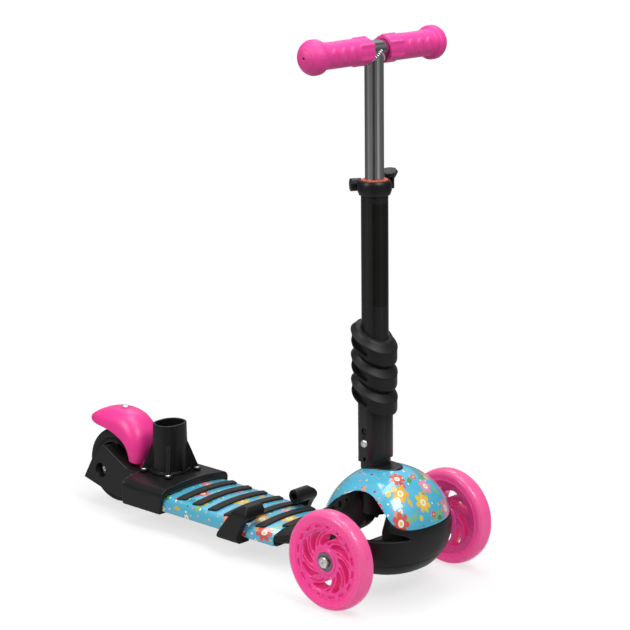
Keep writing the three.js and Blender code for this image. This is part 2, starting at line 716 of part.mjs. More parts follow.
// Black fork in one moulding: a liner under the cover, a crown over the steering head, the front block,
// and below it the jaw with a boss on each side for the axle
function frontFork() {
  const linerInset = COVER_WALL + SEAT_GAP;
  const liner = cut(domeUpper(linerInset, LEDGE_Z), domeUpper(linerInset + HOUSING_WALL, DOME_WAIST_Z),
    belowArch(COVER_WALL));
  const crownPad = collarOval(-SEAT_GAP, CROWN_UNDER_Z, CROWN_TOP_Z);
  const crown = common(join(onColumn(rodZ(CROWN_RADIUS, CROWN_UNDER_Z, CROWN_TOP_Z)), crownPad),
    domeUpper(linerInset, LEDGE_Z));
  const upper = cut(join(liner, crown), collarOval(SEAT_GAP, CROWN_TOP_Z, domeReach));

  const plan = frontBlockPlan();
  const blockUpper = common(domeUpper(linerInset, DOME_WAIST_Z), alongZ(plan, LEDGE_Z - OVERRUN, ARCH_TOP_Z));
  const blockFace = common(common(domeUpper(0, DOME_WAIST_Z), belowArch(-SEAT_GAP)),
    alongZ(plan, LEDGE_Z - OVERRUN, ARCH_TOP_Z));
  const blockLower = common(domeLower(0, PAN_SPLIT_Z, DOME_WAIST_Z), alongZ(plan, PAN_SPLIT_Z, DOME_WAIST_Z));

  const jawUpper = cut(domeUpper(0, DOME_WAIST_Z), aboveLevel(LEDGE_Z));
  const jawSolid = join(domeLower(0, PAN_SPLIT_Z, DOME_WAIST_Z), jawUpper);
  const wallInset = JAW_WALL;
  const hollowUpper = common(domeUpper(wallInset, DOME_WAIST_Z), belowLevel(LEDGE_Z + OVERRUN));
  const hollow = join(domeLower(wallInset, PAN_SPLIT_Z - OVERRUN, DOME_WAIST_Z), hollowUpper);
  const jaw = cut(jawSolid, hollow, behindJaw());
  const bossEnd = DOME_HALF_WIDTH + RUNNING_GAP;
  const bossStart = DOME_HALF_WIDTH - 2 * JAW_WALL;
  const bosses = [[-bossEnd, -bossStart], [bossStart, bossEnd]].map(([from, to]) =>
    rodY(AXLE_BOSS_RADIUS, from, to).translate(0, 0, FRONT_WHEEL_RADIUS));
  const axleBore = rodY(AXLE_ROD_RADIUS + SEAT_GAP, -domeReach, domeReach).translate(0, 0, FRONT_WHEEL_RADIUS);
  const boltBore = onColumn(rodZ(STEER_BOLT_RADIUS + SEAT_GAP, 0, domeReach, SMALL_STEPS));
  return cut(join(upper, blockUpper, blockFace, blockLower, jaw, ...bosses), axleBore, boltBore,
    belowLevel(PAN_SPLIT_Z));
}

// Pan that closes the jaw from below
function bellyPan() {
  const top = PAN_SPLIT_Z - SEAT_GAP;
  const hollow = domeLower(JAW_WALL, DOME_BOTTOM_Z + COVER_WALL, top + OVERRUN);
  return cut(domeLower(0, DOME_BOTTOM_Z, top), hollow, behindJaw());
}

// Steering bearing, about the column's line: two flanged bushes in the head, a shouldered bolt and a nut
const upperBushTop = HEAD_TOP_Z + SEAT_GAP + STEER_FLANGE;
const lowerBushBottom = HEAD_POCKET_TOP_Z - SEAT_GAP - STEER_FLANGE;

function steerBush(flangeFrom, flangeTo, flangeRadius, bodyFrom, bodyTo) {
  const bore = STEER_SHOULDER_RADIUS + SEAT_GAP;
  return join(tubeZ(bore, flangeRadius, flangeFrom, flangeTo),
    tubeZ(bore, HEAD_BORE_RADIUS - SEAT_GAP, bodyFrom, bodyTo));
}

function upperBush() {
  return steerBush(HEAD_TOP_Z + SEAT_GAP, upperBushTop, STEER_FLANGE_RADIUS, HEAD_TOP_Z - STEER_BUSH_LENGTH,
    upperBushTop);
}

function lowerBush() {
  return steerBush(lowerBushBottom, HEAD_POCKET_TOP_Z - SEAT_GAP, HEAD_POCKET_RADIUS - RUNNING_GAP,
    lowerBushBottom, HEAD_POCKET_TOP_Z + STEER_BUSH_LENGTH);
}

function steeringNut() {
  const top = lowerBushBottom - SEAT_GAP;
  const flange = rodZ(STEER_WASHER_RADIUS, top - STEER_WASHER, top);
  const hex = rodZ(STEER_NUT_RADIUS, top - STEER_WASHER - STEER_NUT_HEIGHT, top, 6);
  return cut(join(flange, hex), rodZ(STEER_BOLT_RADIUS + SEAT_GAP, 0, top + OVERRUN, SMALL_STEPS));
}

function steeringBolt() {
  const bottom = lowerBushBottom - SEAT_GAP - STEER_WASHER - STEER_NUT_HEIGHT;
  const headFrom = SPIGOT_FLOOR_Z + SEAT_GAP;
  const shank = rodZ(STEER_BOLT_RADIUS, bottom, headFrom + OVERRUN, SMALL_STEPS);
  const shoulder = rodZ(STEER_SHOULDER_RADIUS, lowerBushBottom, CROWN_UNDER_Z - SEAT_GAP);
  const head = rodZ(STEER_NUT_RADIUS, headFrom, headFrom + STEER_HEAD_HEIGHT, 6);
  return join(shank, shoulder, head);
}

// Socket that the column plugs onto: an oval collar on the dome, a neck and a spigot
function columnSocket() {
  const collar = collarOval(-SEAT_GAP, CROWN_TOP_Z + SEAT_GAP, COLLAR_TOP_Z);
  const neck = onColumn(rodZ(NECK_RADIUS, COLLAR_TOP_Z - OVERRUN, NECK_TOP_Z));
  const spigot = onColumn(rodZ(SPIGOT_RADIUS, COLLAR_TOP_Z, SPIGOT_TOP_Z));
  const bore = onColumn(rodZ(SPIGOT_BORE_RADIUS, SPIGOT_FLOOR_Z, SPIGOT_TOP_Z + OVERRUN));
  const boltBore = onColumn(rodZ(STEER_BOLT_RADIUS + SEAT_GAP, 0, SPIGOT_TOP_Z, SMALL_STEPS));
  const buttonBore = onColumn(sideBore());
  return cut(join(collar, neck, spigot), bore, boltBore, buttonBore);
}

// Column tubes and sleeves
function sideBore() {
  return rodY(SNAP_BUTTON_RADIUS + SEAT_GAP, -2 * LOWER_SLEEVE_RADIUS, 0, SMALL_STEPS).translate(0, 0, SNAP_BUTTON_Z);
}

function outerTube() {
  return cut(tubeZ(TUBE_RADIUS - TUBE_WALL, TUBE_RADIUS, NECK_TOP_Z + SEAT_GAP, TUBE_TOP_Z), sideBore());
}

function lowerSleeve() {
  const reach = 2 * LOWER_SLEEVE_RADIUS;
  const bottom = LOWER_SLEEVE_BOTTOM_Z;
  const slant = LOWER_SLEEVE_SLANT;
  const body = tubeZ(TUBE_RADIUS + SEAT_GAP, LOWER_SLEEVE_RADIUS, bottom - slant, LOWER_SLEEVE_TOP_Z);
  const neckSpace = rodZ(NECK_RADIUS + SEAT_GAP, 0, NECK_TOP_Z + SEAT_GAP);
  const below = outline([[-reach, bottom - 2 * reach], [reach, bottom - 2 * reach],
    [reach, bottom + 2 * slant], [-reach, bottom - 2 * slant]]);
  const halfNotch = SLEEVE_NOTCH_WIDTH / 2;
  const notch = block(-halfNotch, halfNotch, -reach, 0, 0, bottom + SLEEVE_NOTCH_HEIGHT / 2);
  return cut(body, neckSpace, alongY(below, -reach, reach), notch, sideBore());
}

function screwHead(radius, height) {
  return turnedZ([[0, 0], [radius, 0], [radius, height / 2], [radius / 2, height], [0, height]], SMALL_STEPS);
}

// Button on a leaf spring that lies in the spigot
function snapButton() {
  const outer = LOWER_SLEEVE_RADIUS - SNAP_BUTTON_TRAVEL / 2;
  const back = SPIGOT_BORE_RADIUS - 2 * SNAP_LEAF_THICKNESS;
  const pin = rodY(SNAP_BUTTON_RADIUS, -outer, -back, SMALL_STEPS).translate(0, 0, SNAP_BUTTON_Z);
  const top = SNAP_BUTTON_Z + SNAP_BUTTON_RADIUS;
  const leaf = block(-SNAP_LEAF_WIDTH / 2, SNAP_LEAF_WIDTH / 2, -back - SNAP_LEAF_THICKNESS / 2,
    -back + SNAP_LEAF_THICKNESS / 2, top - SNAP_LEAF_LENGTH, top);
  return join(pin, leaf);
}

// Spiral sleeve: level bands on a core, then all slanted together
function slanted(geometry) {
  const shear = new THREE.Matrix4().set(1, 0, 0, 0, 0, 1, 0, 0, -Math.tan(radians(BAND_SLANT_DEGREES)), 0, 1, 0,
    0, 0, 0, 1);
  return geometry.applyMatrix4(shear);
}

function bandSolid(middle) {
  const core = TUBE_RADIUS + BAND_CORE_WALL;
  const top = middle + BAND_HEIGHT / 2;
  const bottom = middle - BAND_HEIGHT / 2;
  const profile = [[0, bottom], [BAND_RADIUS - BAND_UNDERCUT, bottom], [BAND_RADIUS, bottom + BAND_UNDERCUT],
    [BAND_RADIUS, top - BAND_SHOULDER], [core + BAND_CORE_WALL, top], [0, top]];
  return turnedZ(profile).translate(BAND_OFFSET_X, 0, 0);
}

function pocket(middle, side) {
  const inner = TUBE_RADIUS + BAND_CORE_WALL;
  const arcShares = [0, 0.33, 0.67, 1];
  const arc = (radius) => arcShares.map((share) => {
    const angle = radians(POCKET_FRONT_DEGREES + share * (POCKET_REAR_DEGREES - POCKET_FRONT_DEGREES));
    return [radius * Math.cos(angle), side * radius * Math.sin(angle)];
  });
  const shape = outline([...arc(inner), ...arc(2 * BAND_RADIUS).reverse()]);
  const floor = middle - BAND_HEIGHT / 2 + BAND_UNDERCUT * 2;
  return alongZ(shape, floor, floor + POCKET_HEIGHT);
}

function spiralSleeve() {
  const middles = Array.from({ length: BAND_COUNT }, (_, i) =>
    BAND_MIDDLE_Z + ((BAND_COUNT - 1) / 2 - i) * BAND_PITCH);
  const top = middles[0] + BAND_HEIGHT / 2;
  const bottom = middles[BAND_COUNT - 1] - BAND_HEIGHT / 2 + BAND_UNDERCUT;
  const core = rodZ(TUBE_RADIUS + BAND_CORE_WALL, bottom, top - OVERRUN);
  const pockets = middles.flatMap((middle) => [pocket(middle, -1), pocket(middle, 1)]);
  const sleeve = slanted(cut(join(core, ...middles.map(bandSolid)), ...pockets));
  const tubeBore = rodZ(TUBE_RADIUS + SEAT_GAP, 0, TUBE_TOP_Z);
  const sleeveBore = rodZ(LOWER_SLEEVE_RADIUS + SEAT_GAP, 0, LOWER_SLEEVE_TOP_Z + SEAT_GAP);
  return cut(sleeve, tubeBore, sleeveBore);
}

// T bar: stem and crossbar welded into one
function tBar() {
  const stem = rodZ(STEM_RADIUS, STEM_BOTTOM_Z, BAR_Z);
  const bar = rodY(STEM_RADIUS, -BAR_HALF_LENGTH, BAR_HALF_LENGTH).translate(0, 0, BAR_Z);
  const weldBottom = BAR_Z - STEM_RADIUS - WELD_HEIGHT / 2;
  const weld = turnedZ([[0, weldBottom], [STEM_RADIUS, weldBottom], [WELD_RADIUS, weldBottom + WELD_HEIGHT],
    [0, weldBottom + WELD_HEIGHT]]);
  const bore = rodZ(STEM_RADIUS - STEM_WALL, STEM_BOTTOM_Z - OVERRUN, BAR_Z - STEM_RADIUS);
  return cut(join(stem, bar, weld), bore);
}

function stemGuide() {
  const ring = rodZ(TUBE_RADIUS - TUBE_WALL - SEAT_GAP, STEM_BOTTOM_Z - STEM_GUIDE_LENGTH / 2,
    STEM_BOTTOM_Z - SEAT_GAP);
  const plug = rodZ(STEM_RADIUS - STEM_WALL - SEAT_GAP, STEM_BOTTOM_Z - STEM_GUIDE_LENGTH / 2,
    STEM_BOTTOM_Z + STEM_GUIDE_LENGTH / 2);
  return join(ring, plug);
}

function reducingBush() {
  const inner = STEM_RADIUS + SEAT_GAP;
  const flangeBottom = TUBE_TOP_Z + SEAT_GAP;
  const flangeTop = flangeBottom + BUSH_FLANGE_HEIGHT;
  const flange = tubeZ(inner, BUSH_FLANGE_RADIUS, flangeBottom, flangeTop);
  const body = tubeZ(inner, TUBE_RADIUS - TUBE_WALL - SEAT_GAP, flangeTop - BUSH_LENGTH, flangeBottom + SEAT_GAP);
  return join(flange, body);
}

// Clamp: a split collar with two ears behind the tube, drawn together by a bolt across them
const clampBottom = CLAMP_TOP_Z - CLAMP_HEIGHT;
const clampMiddle = CLAMP_TOP_Z - CLAMP_HEIGHT / 2;
const earFace = CLAMP_EAR_HALF_WIDTH + SEAT_GAP;
const camFace = earFace + CAM_SEAT;
const collarReach = Math.sqrt(Math.max((CLAMP_RADIUS + SEAT_GAP) ** 2 - earFace ** 2, 0));
const clampBoltX = -collarReach - Math.max(CLAMP_NUT_RADIUS, CAM_RADIUS);

function turnedClamp(geometry) {
  return geometry.rotateZ(radians(CLAMP_TURN_DEGREES));
}

function clampCollar() {
  const waistShare = 0.9;
  const ring = turnedZ([[0, clampBottom], [CLAMP_RADIUS * waistShare, clampBottom],
    [CLAMP_RADIUS, clampBottom + CLAMP_HEIGHT / 3], [CLAMP_RADIUS, CLAMP_TOP_Z - CLAMP_HEIGHT / 5],
    [CLAMP_RADIUS * waistShare, CLAMP_TOP_Z], [0, CLAMP_TOP_Z]]);
  const earRound = rodY(CLAMP_EAR_RADIUS, -CLAMP_EAR_HALF_WIDTH, CLAMP_EAR_HALF_WIDTH + CAM_SEAT)
    .translate(clampBoltX, 0, clampMiddle);
  const ears = block(clampBoltX, 0, -CLAMP_EAR_HALF_WIDTH, CLAMP_EAR_HALF_WIDTH,
    clampMiddle - CLAMP_EAR_RADIUS, clampMiddle + CLAMP_EAR_RADIUS);
  const reach = CLAMP_EAR_RADIUS + OVERRUN - clampBoltX;
  const slot = block(-reach, 0, -CLAMP_SLOT / 2, CLAMP_SLOT / 2, clampBottom - OVERRUN, CLAMP_TOP_Z + OVERRUN);
  const tubeBore = rodZ(TUBE_RADIUS + SEAT_GAP, clampBottom - OVERRUN, CLAMP_TOP_Z + OVERRUN);
  const boltBore = rodY(CLAMP_BOLT_RADIUS + SEAT_GAP, -reach, reach, SMALL_STEPS)
    .translate(clampBoltX, 0, clampMiddle);
  return turnedClamp(cut(join(ring, ears, earRound), slot, tubeBore, boltBore));
}

function clampBolt() {
  const shaft = rodY(CLAMP_BOLT_RADIUS, -earFace - CLAMP_NUT_LENGTH / 2, camFace + CAM_RADIUS, SMALL_STEPS);
  return turnedClamp(shaft.translate(clampBoltX, 0, clampMiddle));
}

function clampNut() {
  const body = rodY(CLAMP_NUT_RADIUS, -earFace - CLAMP_NUT_LENGTH, -earFace);
  const bore = rodY(CLAMP_BOLT_RADIUS + SEAT_GAP, -earFace - CLAMP_NUT_LENGTH / 2 - SEAT_GAP, 0, SMALL_STEPS);
  return turnedClamp(cut(body, bore).translate(clampBoltX, 0, clampMiddle));
}

// Lever: a cam across the bolt's end, and a spoon that reaches back from it
function clampLever() {
  const cam = rodZ(CAM_RADIUS, -CAM_HEIGHT / 2, CAM_HEIGHT / 2);
  const lengthShares = [0, 0.3, 0.6, 0.82, 0.95, 1];
  const widthShares = [0.4, 0.55, 0.85, 1, 0.8, 0.4];
  const depthShares = [1, 0.9, 0.8, 0.75, 0.7, 0.5];
  const rings = lengthShares.map((share, i) => {
    const halfWidth = (LEVER_WIDTH * widthShares[i]) / 2;
    const halfDepth = (LEVER_THICKNESS * depthShares[i]) / 2;
    return ovalPoints(halfWidth, halfDepth, 3, SMALL_STEPS).map((point) =>
      new THREE.Vector3(-share * LEVER_LENGTH, point.x, point.y + LEVER_RISE * share ** 2));
  });
  const blade = loft(rings).rotateZ(-radians(LEVER_TURN_DEGREES));
  const bore = rodY(CLAMP_BOLT_RADIUS + SEAT_GAP, -2 * CAM_RADIUS, CAM_RADIUS / 4, SMALL_STEPS);
  const side = CLAMP_BOLT_RADIUS + SEAT_GAP;
  const swing = block(-side, 2 * CAM_RADIUS, -2 * CAM_RADIUS, side, -side, side);
  return turnedClamp(cut(join(cam, blade), bore, swing)
    .translate(clampBoltX, camFace + CAM_RADIUS + CAM_RADIUS / 4, clampMiddle));
}

// Grip for the rider's right hand, along -Y from the stem
function grip() {
  const flangeEnd = GRIP_FLANGE_Y + GRIP_FLANGE_LENGTH;
  const capShares = [0.3, 0.6];
  const steps = capShares.flatMap((share) => {
    const radius = GRIP_FLANGE_RADIUS * Math.cos((share * Math.PI) / 3);
    const y = flangeEnd + share * (GRIP_END_Y - flangeEnd);
    return [[radius + GRIP_STEP_DEPTH / 2, -y], [radius - GRIP_STEP_DEPTH / 2, -y]];
  });
  const body = turnedY([[0, -GRIP_INNER_Y], [GRIP_RADIUS, -GRIP_INNER_Y], [GRIP_RADIUS, -GRIP_FLANGE_Y],
    [GRIP_FLANGE_RADIUS, -GRIP_FLANGE_Y - GRIP_STEP_DEPTH], [GRIP_FLANGE_RADIUS, -flangeEnd], ...steps,
    [GRIP_FLANGE_RADIUS / 3, -GRIP_END_Y], [0, -GRIP_END_Y]]);
  const hex = rodY(GRIP_HEX_RADIUS, -GRIP_INNER_Y - GRIP_HEX_LENGTH, -GRIP_INNER_Y, 6);
  const pads = Array.from({ length: GRIP_PADS }, (_, i) =>
    rodX(GRIP_PAD_RADIUS, 0, GRIP_RADIUS + GRIP_PAD_RISE, SMALL_STEPS)
      .translate(0, -GRIP_PAD_FIRST_Y - i * GRIP_PAD_PITCH, 0));
  const barBore = rodY(STEM_RADIUS + SEAT_GAP, -BAR_HALF_LENGTH - SEAT_GAP, 0);
  const vent = rodY(GRIP_VENT_RADIUS, -GRIP_END_Y - OVERRUN, -GRIP_END_Y + GRIP_VENT_DEPTH, 6);
  return cut(join(body, hex, ...pads), barBore, vent).translate(0, 0, BAR_Z);
}

// Deck
const crownAt = (y) => DECK_EDGE_Z + DECK_CROWN * (1 - (y / DECK_HALF_WIDTH) ** 2);

function crownPoints(halfWidth, lift, count) {
  return Array.from({ length: count }, (_, i) => {
    const y = -halfWidth + (2 * halfWidth * i) / (count - 1);
    return [y, crownAt(y) + lift];
  });
}

function deckSection(inset, bottom) {
  const half = DECK_HALF_WIDTH - inset;
  const shoulder = DECK_EDGE_Z - DECK_EDGE_RADIUS;
  const crown = crownPoints(half - DECK_EDGE_RADIUS, -inset, 9);
  return outline([[-half, bottom], [half, bottom], [half, shoulder], ...crown.reverse(), [-half, shoulder]]);
}

function deckShell() {
  const outer = alongX(deckSection(0, DECK_BOTTOM_Z), DECK_REAR_X, DECK_FRONT_X);
  const inner = alongX(deckSection(DECK_WALL, DECK_BOTTOM_Z - OVERRUN), DECK_REAR_X - OVERRUN,
    DECK_FRONT_X + OVERRUN);
  return cut(outer, inner);
}

function gripStrip(index) {
  const frontLimit = DECK_FRONT_X - STRIP_WIDTH / 2 - SEAT_GAP;
  const middle = Math.min(STRIP_FIRST_X + index * STRIP_PITCH, frontLimit);
  const half = index === STRIP_COUNT - 1 ? STRIP_FRONT_HALF_LENGTH : STRIP_HALF_LENGTH;
  const halfWidth = STRIP_WIDTH / 2;
  const under = crownPoints(half, SEAT_GAP, 9);
  const over = crownPoints(half - STRIP_CHAMFER, SEAT_GAP + STRIP_RISE, 7);
  const body = alongX(outline([...under, ...over.reverse()]), middle - halfWidth, middle + halfWidth);
  const low = DECK_EDGE_Z;
  const high = DECK_EDGE_Z + DECK_CROWN + STRIP_RISE + OVERRUN;
  const bevels = [-1, 1].map((side) => {
    const edge = middle + side * halfWidth;
    const clear = edge + side * OVERRUN;
    const shape = outline([[clear, low], [edge, low], [edge, high - 2 * OVERRUN], [edge - side * STRIP_CHAMFER, high],
      [clear, high]]);
    return alongY(shape, -DECK_HALF_WIDTH, DECK_HALF_WIDTH);
  });
  return cut(body, ...bevels);
}

// Gooseneck: eight stations from the deck's front end to the steering head, each an octagon
const headX = columnXAt(HEAD_TOP_Z);

function pathPoint(from, to, share) {
  return [from[0] + share[0] * (to[0] - from[0]), from[1] + share[1] * (to[1] - from[1])];
}

const neckTop = [[0, 0], [0.16, 0.06], [0.37, 0.15], [0.57, 0.34], [0.73, 0.52], [0.86, 0.7], [0.94, 0.86], [1, 1]]
  .map((share) => pathPoint([DECK_FRONT_X, DECK_EDGE_Z + DECK_CROWN], [headX - HEAD_RADIUS, NECK_SHOULDER_Z], share));
const neckUnder = [[0, 0], [0.14, 0.02], [0.36, 0.1], [0.55, 0.25], [0.74, 0.47], [0.86, 0.63], [0.94, 0.78], [1, 1]]
  .map((share) => pathPoint([DECK_FRONT_X, DECK_BOTTOM_Z], [headX, HEAD_BOTTOM_Z], share));
const neckHalfWidths = [1, 0.84, 0.53, 0.32, 0.18, 0.1, 0.05, 0]
  .map((share) => HEAD_RADIUS - SEAT_GAP + share * (DECK_HALF_WIDTH - HEAD_RADIUS));

function gooseneck() {
  const cornerShare = 0.3;
  const far = 1 - cornerShare;
  const cornerShares = [[-1, cornerShare], [-far, 0], [far, 0], [1, cornerShare], [1, far], [far, 1], [-far, 1],
    [-1, far]];
  return loft(neckTop.map((top, i) => cornerShares.map(([across, up]) => {
    const [x, z] = pathPoint(neckUnder[i], top, [up, up]);
    return new THREE.Vector3(x, across * neckHalfWidths[i], z);
  })));
}

// Long pockets that leave the gooseneck's underside as upright fins
function neckPockets() {
  const under = neckUnder.slice(1, -1);
  const skin = neckTop.slice(1, -1).map(([x, z]) => [x + NECK_SKIN / 2, z - NECK_SKIN]);
  const shape = outline([...under.map(([x, z]) => [x, z - OVERRUN]), ...skin.reverse()]);
  const lane = (2 * HEAD_RADIUS) / NECK_POCKETS;
  return Array.from({ length: NECK_POCKETS }, (_, i) => {
    const middle = (i - (NECK_POCKETS - 1) / 2) * lane;
    return alongY(shape, middle - (lane - NECK_FIN) / 2, middle + (lane - NECK_FIN) / 2);
  });
}

// Frame under the deck: a skin on ribs, with the black nose and the gooseneck, moulded in one
function deckFrame() {
  const half = DECK_HALF_WIDTH - DECK_WALL - SEAT_GAP;
  const ceiling = DECK_EDGE_Z - DECK_WALL - SEAT_GAP - DECK_EDGE_RADIUS / 2 - FRAME_SKIN;
  const rear = DECK_REAR_X + SEAT_GAP;
  const body = alongX(deckSection(DECK_WALL + SEAT_GAP, DECK_BOTTOM_Z), rear, DECK_FRONT_X + OVERRUN);
  const length = (DECK_FRONT_X - rear - FRAME_RIB) / FRAME_BAYS;
  const width = (2 * half - FRAME_RIB) / FRAME_LANES;
  const bays = [];
  for (let i = 0; i < FRAME_BAYS; i += 1) {
    for (let j = 0; j < FRAME_LANES; j += 1) {
      const x = rear + FRAME_RIB + i * length;
      const y = -half + FRAME_RIB + j * width;
      bays.push(block(x, x + length - FRAME_RIB, y, y + width - FRAME_RIB, DECK_BOTTOM_Z - OVERRUN, ceiling));
    }
  }
  const head = onColumn(rodZ(HEAD_RADIUS, HEAD_BOTTOM_Z, HEAD_TOP_Z));
  const bore = onColumn(rodZ(HEAD_BORE_RADIUS, 0, HEAD_TOP_Z + OVERRUN));
  const pocketBore = onColumn(rodZ(HEAD_POCKET_RADIUS, 0, HEAD_POCKET_TOP_Z));
  const deckSpace = block(DECK_REAR_X, DECK_FRONT_X + SEAT_GAP, -domeReach, domeReach, 0, domeReach);
  const neck = cut(gooseneck(), deckSpace, ...neckPockets());
  return cut(join(cut(body, ...bays), neck, head), bore, pocketBore);
}

// Rear housing with its two arms
function armOutline() {
  const alongShares = [0, 0.34, 0.62, 1, 1, 0.81, 0.59, 0.41, 0.32, 0.17];
  const upShares = [0.22, 0.09, 0, 0.07, 0.61, 0.66, 0.84, 1, 0.97, 0.7];
  const rear = [-WHEELBASE - ARM_REAR_REACH, ARM_BOTTOM_Z];
  const front = [HOUSING_REAR_X + HOUSING_SHELL, ARM_TOP_Z];
  return outline(alongShares.map((along, i) => pathPoint(rear, front, [along, upShares[i]])));
}

function housingSection(inset, top, bottom) {
  const half = HOUSING_HALF_WIDTH - inset;
  const corner = HOUSING_CORNER - inset / 2;
  const shape = new THREE.Shape();
  shape.moveTo(-half, bottom);
  shape.lineTo(half, bottom);
  shape.lineTo(half, top - corner);
  shape.absarc(half - corner, top - corner, corner, 0, Math.PI / 2, false);
  shape.lineTo(corner - half, top);
  shape.absarc(corner - half, top - corner, corner, Math.PI / 2, Math.PI, false);
  return shape;
}

function rearHousing() {
  const outer = alongX(housingSection(0, HOUSING_TOP_Z, HOUSING_BOTTOM_Z), HOUSING_REAR_X, HOUSING_FRONT_TOP_X);
  const inner = alongX(housingSection(HOUSING_SHELL, HOUSING_TOP_Z - HOUSING_SHELL, DECK_BOTTOM_Z - SEAT_GAP),
    DECK_REAR_X - SEAT_GAP, HOUSING_FRONT_TOP_X + OVERRUN);
  const slope = outline([[HOUSING_FRONT_BOTTOM_X, 0], [HOUSING_FRONT_TOP_X + OVERRUN, 0],
    [HOUSING_FRONT_TOP_X + OVERRUN, HOUSING_TOP_Z], [HOUSING_FRONT_TOP_X, HOUSING_TOP_Z]]);
  const mouth = alongY(slope, -2 * HOUSING_HALF_WIDTH, 2 * HOUSING_HALF_WIDTH);
  const reach = 2 * ARM_OUTER_Y;
  const arms = [[-ARM_OUTER_Y, -ARM_INNER_Y], [ARM_INNER_Y, ARM_OUTER_Y]].map(([from, to]) =>
    alongY(armOutline(), from, to));
  const hubEnd = REAR_CORE_WIDTH / 2 + SEAT_GAP;
  const hubBosses = [[-ARM_INNER_Y - OVERRUN, -hubEnd], [hubEnd, ARM_INNER_Y + OVERRUN]].map(([from, to]) =>
    rodY(BEARING_SLEEVE_RADIUS, from, to, BEARING_STEPS).translate(-WHEELBASE, 0, REAR_WHEEL_RADIUS));
  const recessFloor = ARM_OUTER_Y - ARM_RECESS_DEPTH;
  const recesses = [[-reach, -recessFloor], [recessFloor, reach]].map(([from, to]) =>
    rodY(ARM_RECESS_RADIUS, from, to).translate(-WHEELBASE, 0, REAR_WHEEL_RADIUS));
  const axleBore = rodY(AXLE_BOLT_RADIUS + SEAT_GAP, -reach, reach, SMALL_STEPS)
    .translate(-WHEELBASE, 0, REAR_WHEEL_RADIUS);
  const pinBore = rodY(HINGE_PIN_RADIUS + SEAT_GAP, -reach, reach, SMALL_STEPS).translate(HINGE_X, 0, HINGE_Z);
  return cut(join(cut(outer, inner, mouth), ...arms, ...hubBosses), ...recesses, axleBore, pinBore);
}

// Socket for a seat post: an oval tube that flares to a screwed base and is held by ribs
function seatSocket() {
  const base = HOUSING_TOP_Z + SEAT_GAP;
  const ring = (flare, z) => ovalPoints(SOCKET_HALF_LENGTH + flare, SOCKET_HALF_WIDTH + flare, 2, TUBE_STEPS)
    .map((point) => new THREE.Vector3(point.x, point.y, z));
  const tube = loft([ring(SOCKET_FLARE, base), ring(SOCKET_FLARE / 4, SOCKET_FLARE_Z), ring(0, SOCKET_TOP_Z)]);
  const plan = new THREE.Shape(ovalPoints(SOCKET_BASE_HALF_LENGTH, SOCKET_BASE_HALF_WIDTH, 5, TUBE_STEPS));
  const plate = alongZ(plan, base, base + SOCKET_BASE_HEIGHT);
  const ribDegrees = [0, 55, 125, 180, 235, 305];
  const reachShares = [1, 0.86, 0.86, 0.7, 0.86, 0.86];
  const ribs = ribDegrees.map((degrees, i) => {
    const reach = SOCKET_RIB_REACH * reachShares[i];
    const side = outline([[0, base], [reach, base], [reach, base + SOCKET_BASE_HEIGHT * 2],
      [SOCKET_HALF_LENGTH, SOCKET_RIB_TOP_Z], [0, SOCKET_RIB_TOP_Z]]);
    return alongY(side, -SOCKET_RIB / 2, SOCKET_RIB / 2).rotateZ(radians(degrees));
  });
  const boreOval = ovalPoints(SOCKET_HALF_LENGTH - SOCKET_WALL, SOCKET_HALF_WIDTH - SOCKET_WALL, 2, TUBE_STEPS);
  const bore = alongZ(new THREE.Shape(boreOval), base + SOCKET_BASE_HEIGHT, SOCKET_TOP_Z + OVERRUN);
  const holes = [[1, 1], [1, -1], [-1, 1], [-1, -1]].map(([along, across]) =>
    rodZ(SOCKET_SCREW_HOLE, base - OVERRUN, base + SOCKET_BASE_HEIGHT * 2, 6)
      .translate(along * SOCKET_SCREW_X, across * SOCKET_SCREW_Y, 0));
  return cut(join(tube, plate, ...ribs), bore, ...holes).translate(SOCKET_X, 0, 0);
}

// Rear wheel
function rearCore() {
  const half = REAR_CORE_WIDTH / 2;
  const rimInner = REAR_CORE_RADIUS - REAR_RIM_DEPTH;
  const hub = rodY(REAR_HUB_RADIUS, -half, half);
  const rim = tubeY(rimInner, REAR_CORE_RADIUS, -half, half, RIM_STEPS);
  const halfSpoke = REAR_SPOKE_WIDTH / 2;
  const spokes = Array.from({ length: REAR_SPOKES / 2 }, (_, i) =>
    block(-rimInner, rimInner, OVERRUN - half, half - OVERRUN, -halfSpoke, halfSpoke)
      .rotateY((i / REAR_SPOKES) * 2 * Math.PI));
  return cut(join(hub, rim, ...spokes), ...bearingSeats(half));
}

function rearWheel() {
  const wheel = new THREE.Group();
  wheel.position.set(-WHEELBASE, 0, REAR_WHEEL_RADIUS);
  chassis.add(wheel);
  piece('rear_core', rearCore(), BLACK, wheel);
  piece('rear_tyre', tyre(REAR_WHEEL_RADIUS, REAR_CORE_RADIUS, REAR_WHEEL_WIDTH), RUBBER, wheel);
  piece('rear_bearings', bearingSet(REAR_CORE_WIDTH / 2), STEEL, wheel);
}

const rearSeat = ARM_OUTER_Y - ARM_RECESS_DEPTH + SEAT_GAP;

function rearAxleBolt() {
  const bolt = axleBolt(2 * rearSeat + 2 * AXLE_HEAD_HEIGHT, rearSeat);
  return mirrored(bolt).translate(-WHEELBASE, 0, REAR_WHEEL_RADIUS);
}

function rearAxleNut() {
  const height = AXLE_HEAD_HEIGHT * 1.5;
  return cut(rodY(AXLE_HEAD_RADIUS, rearSeat, rearSeat + height, 6),
    rodY(AXLE_BOLT_RADIUS + SEAT_GAP, 0, rearSeat + 2 * height, SMALL_STEPS))
    .translate(-WHEELBASE, 0, REAR_WHEEL_RADIUS);
}

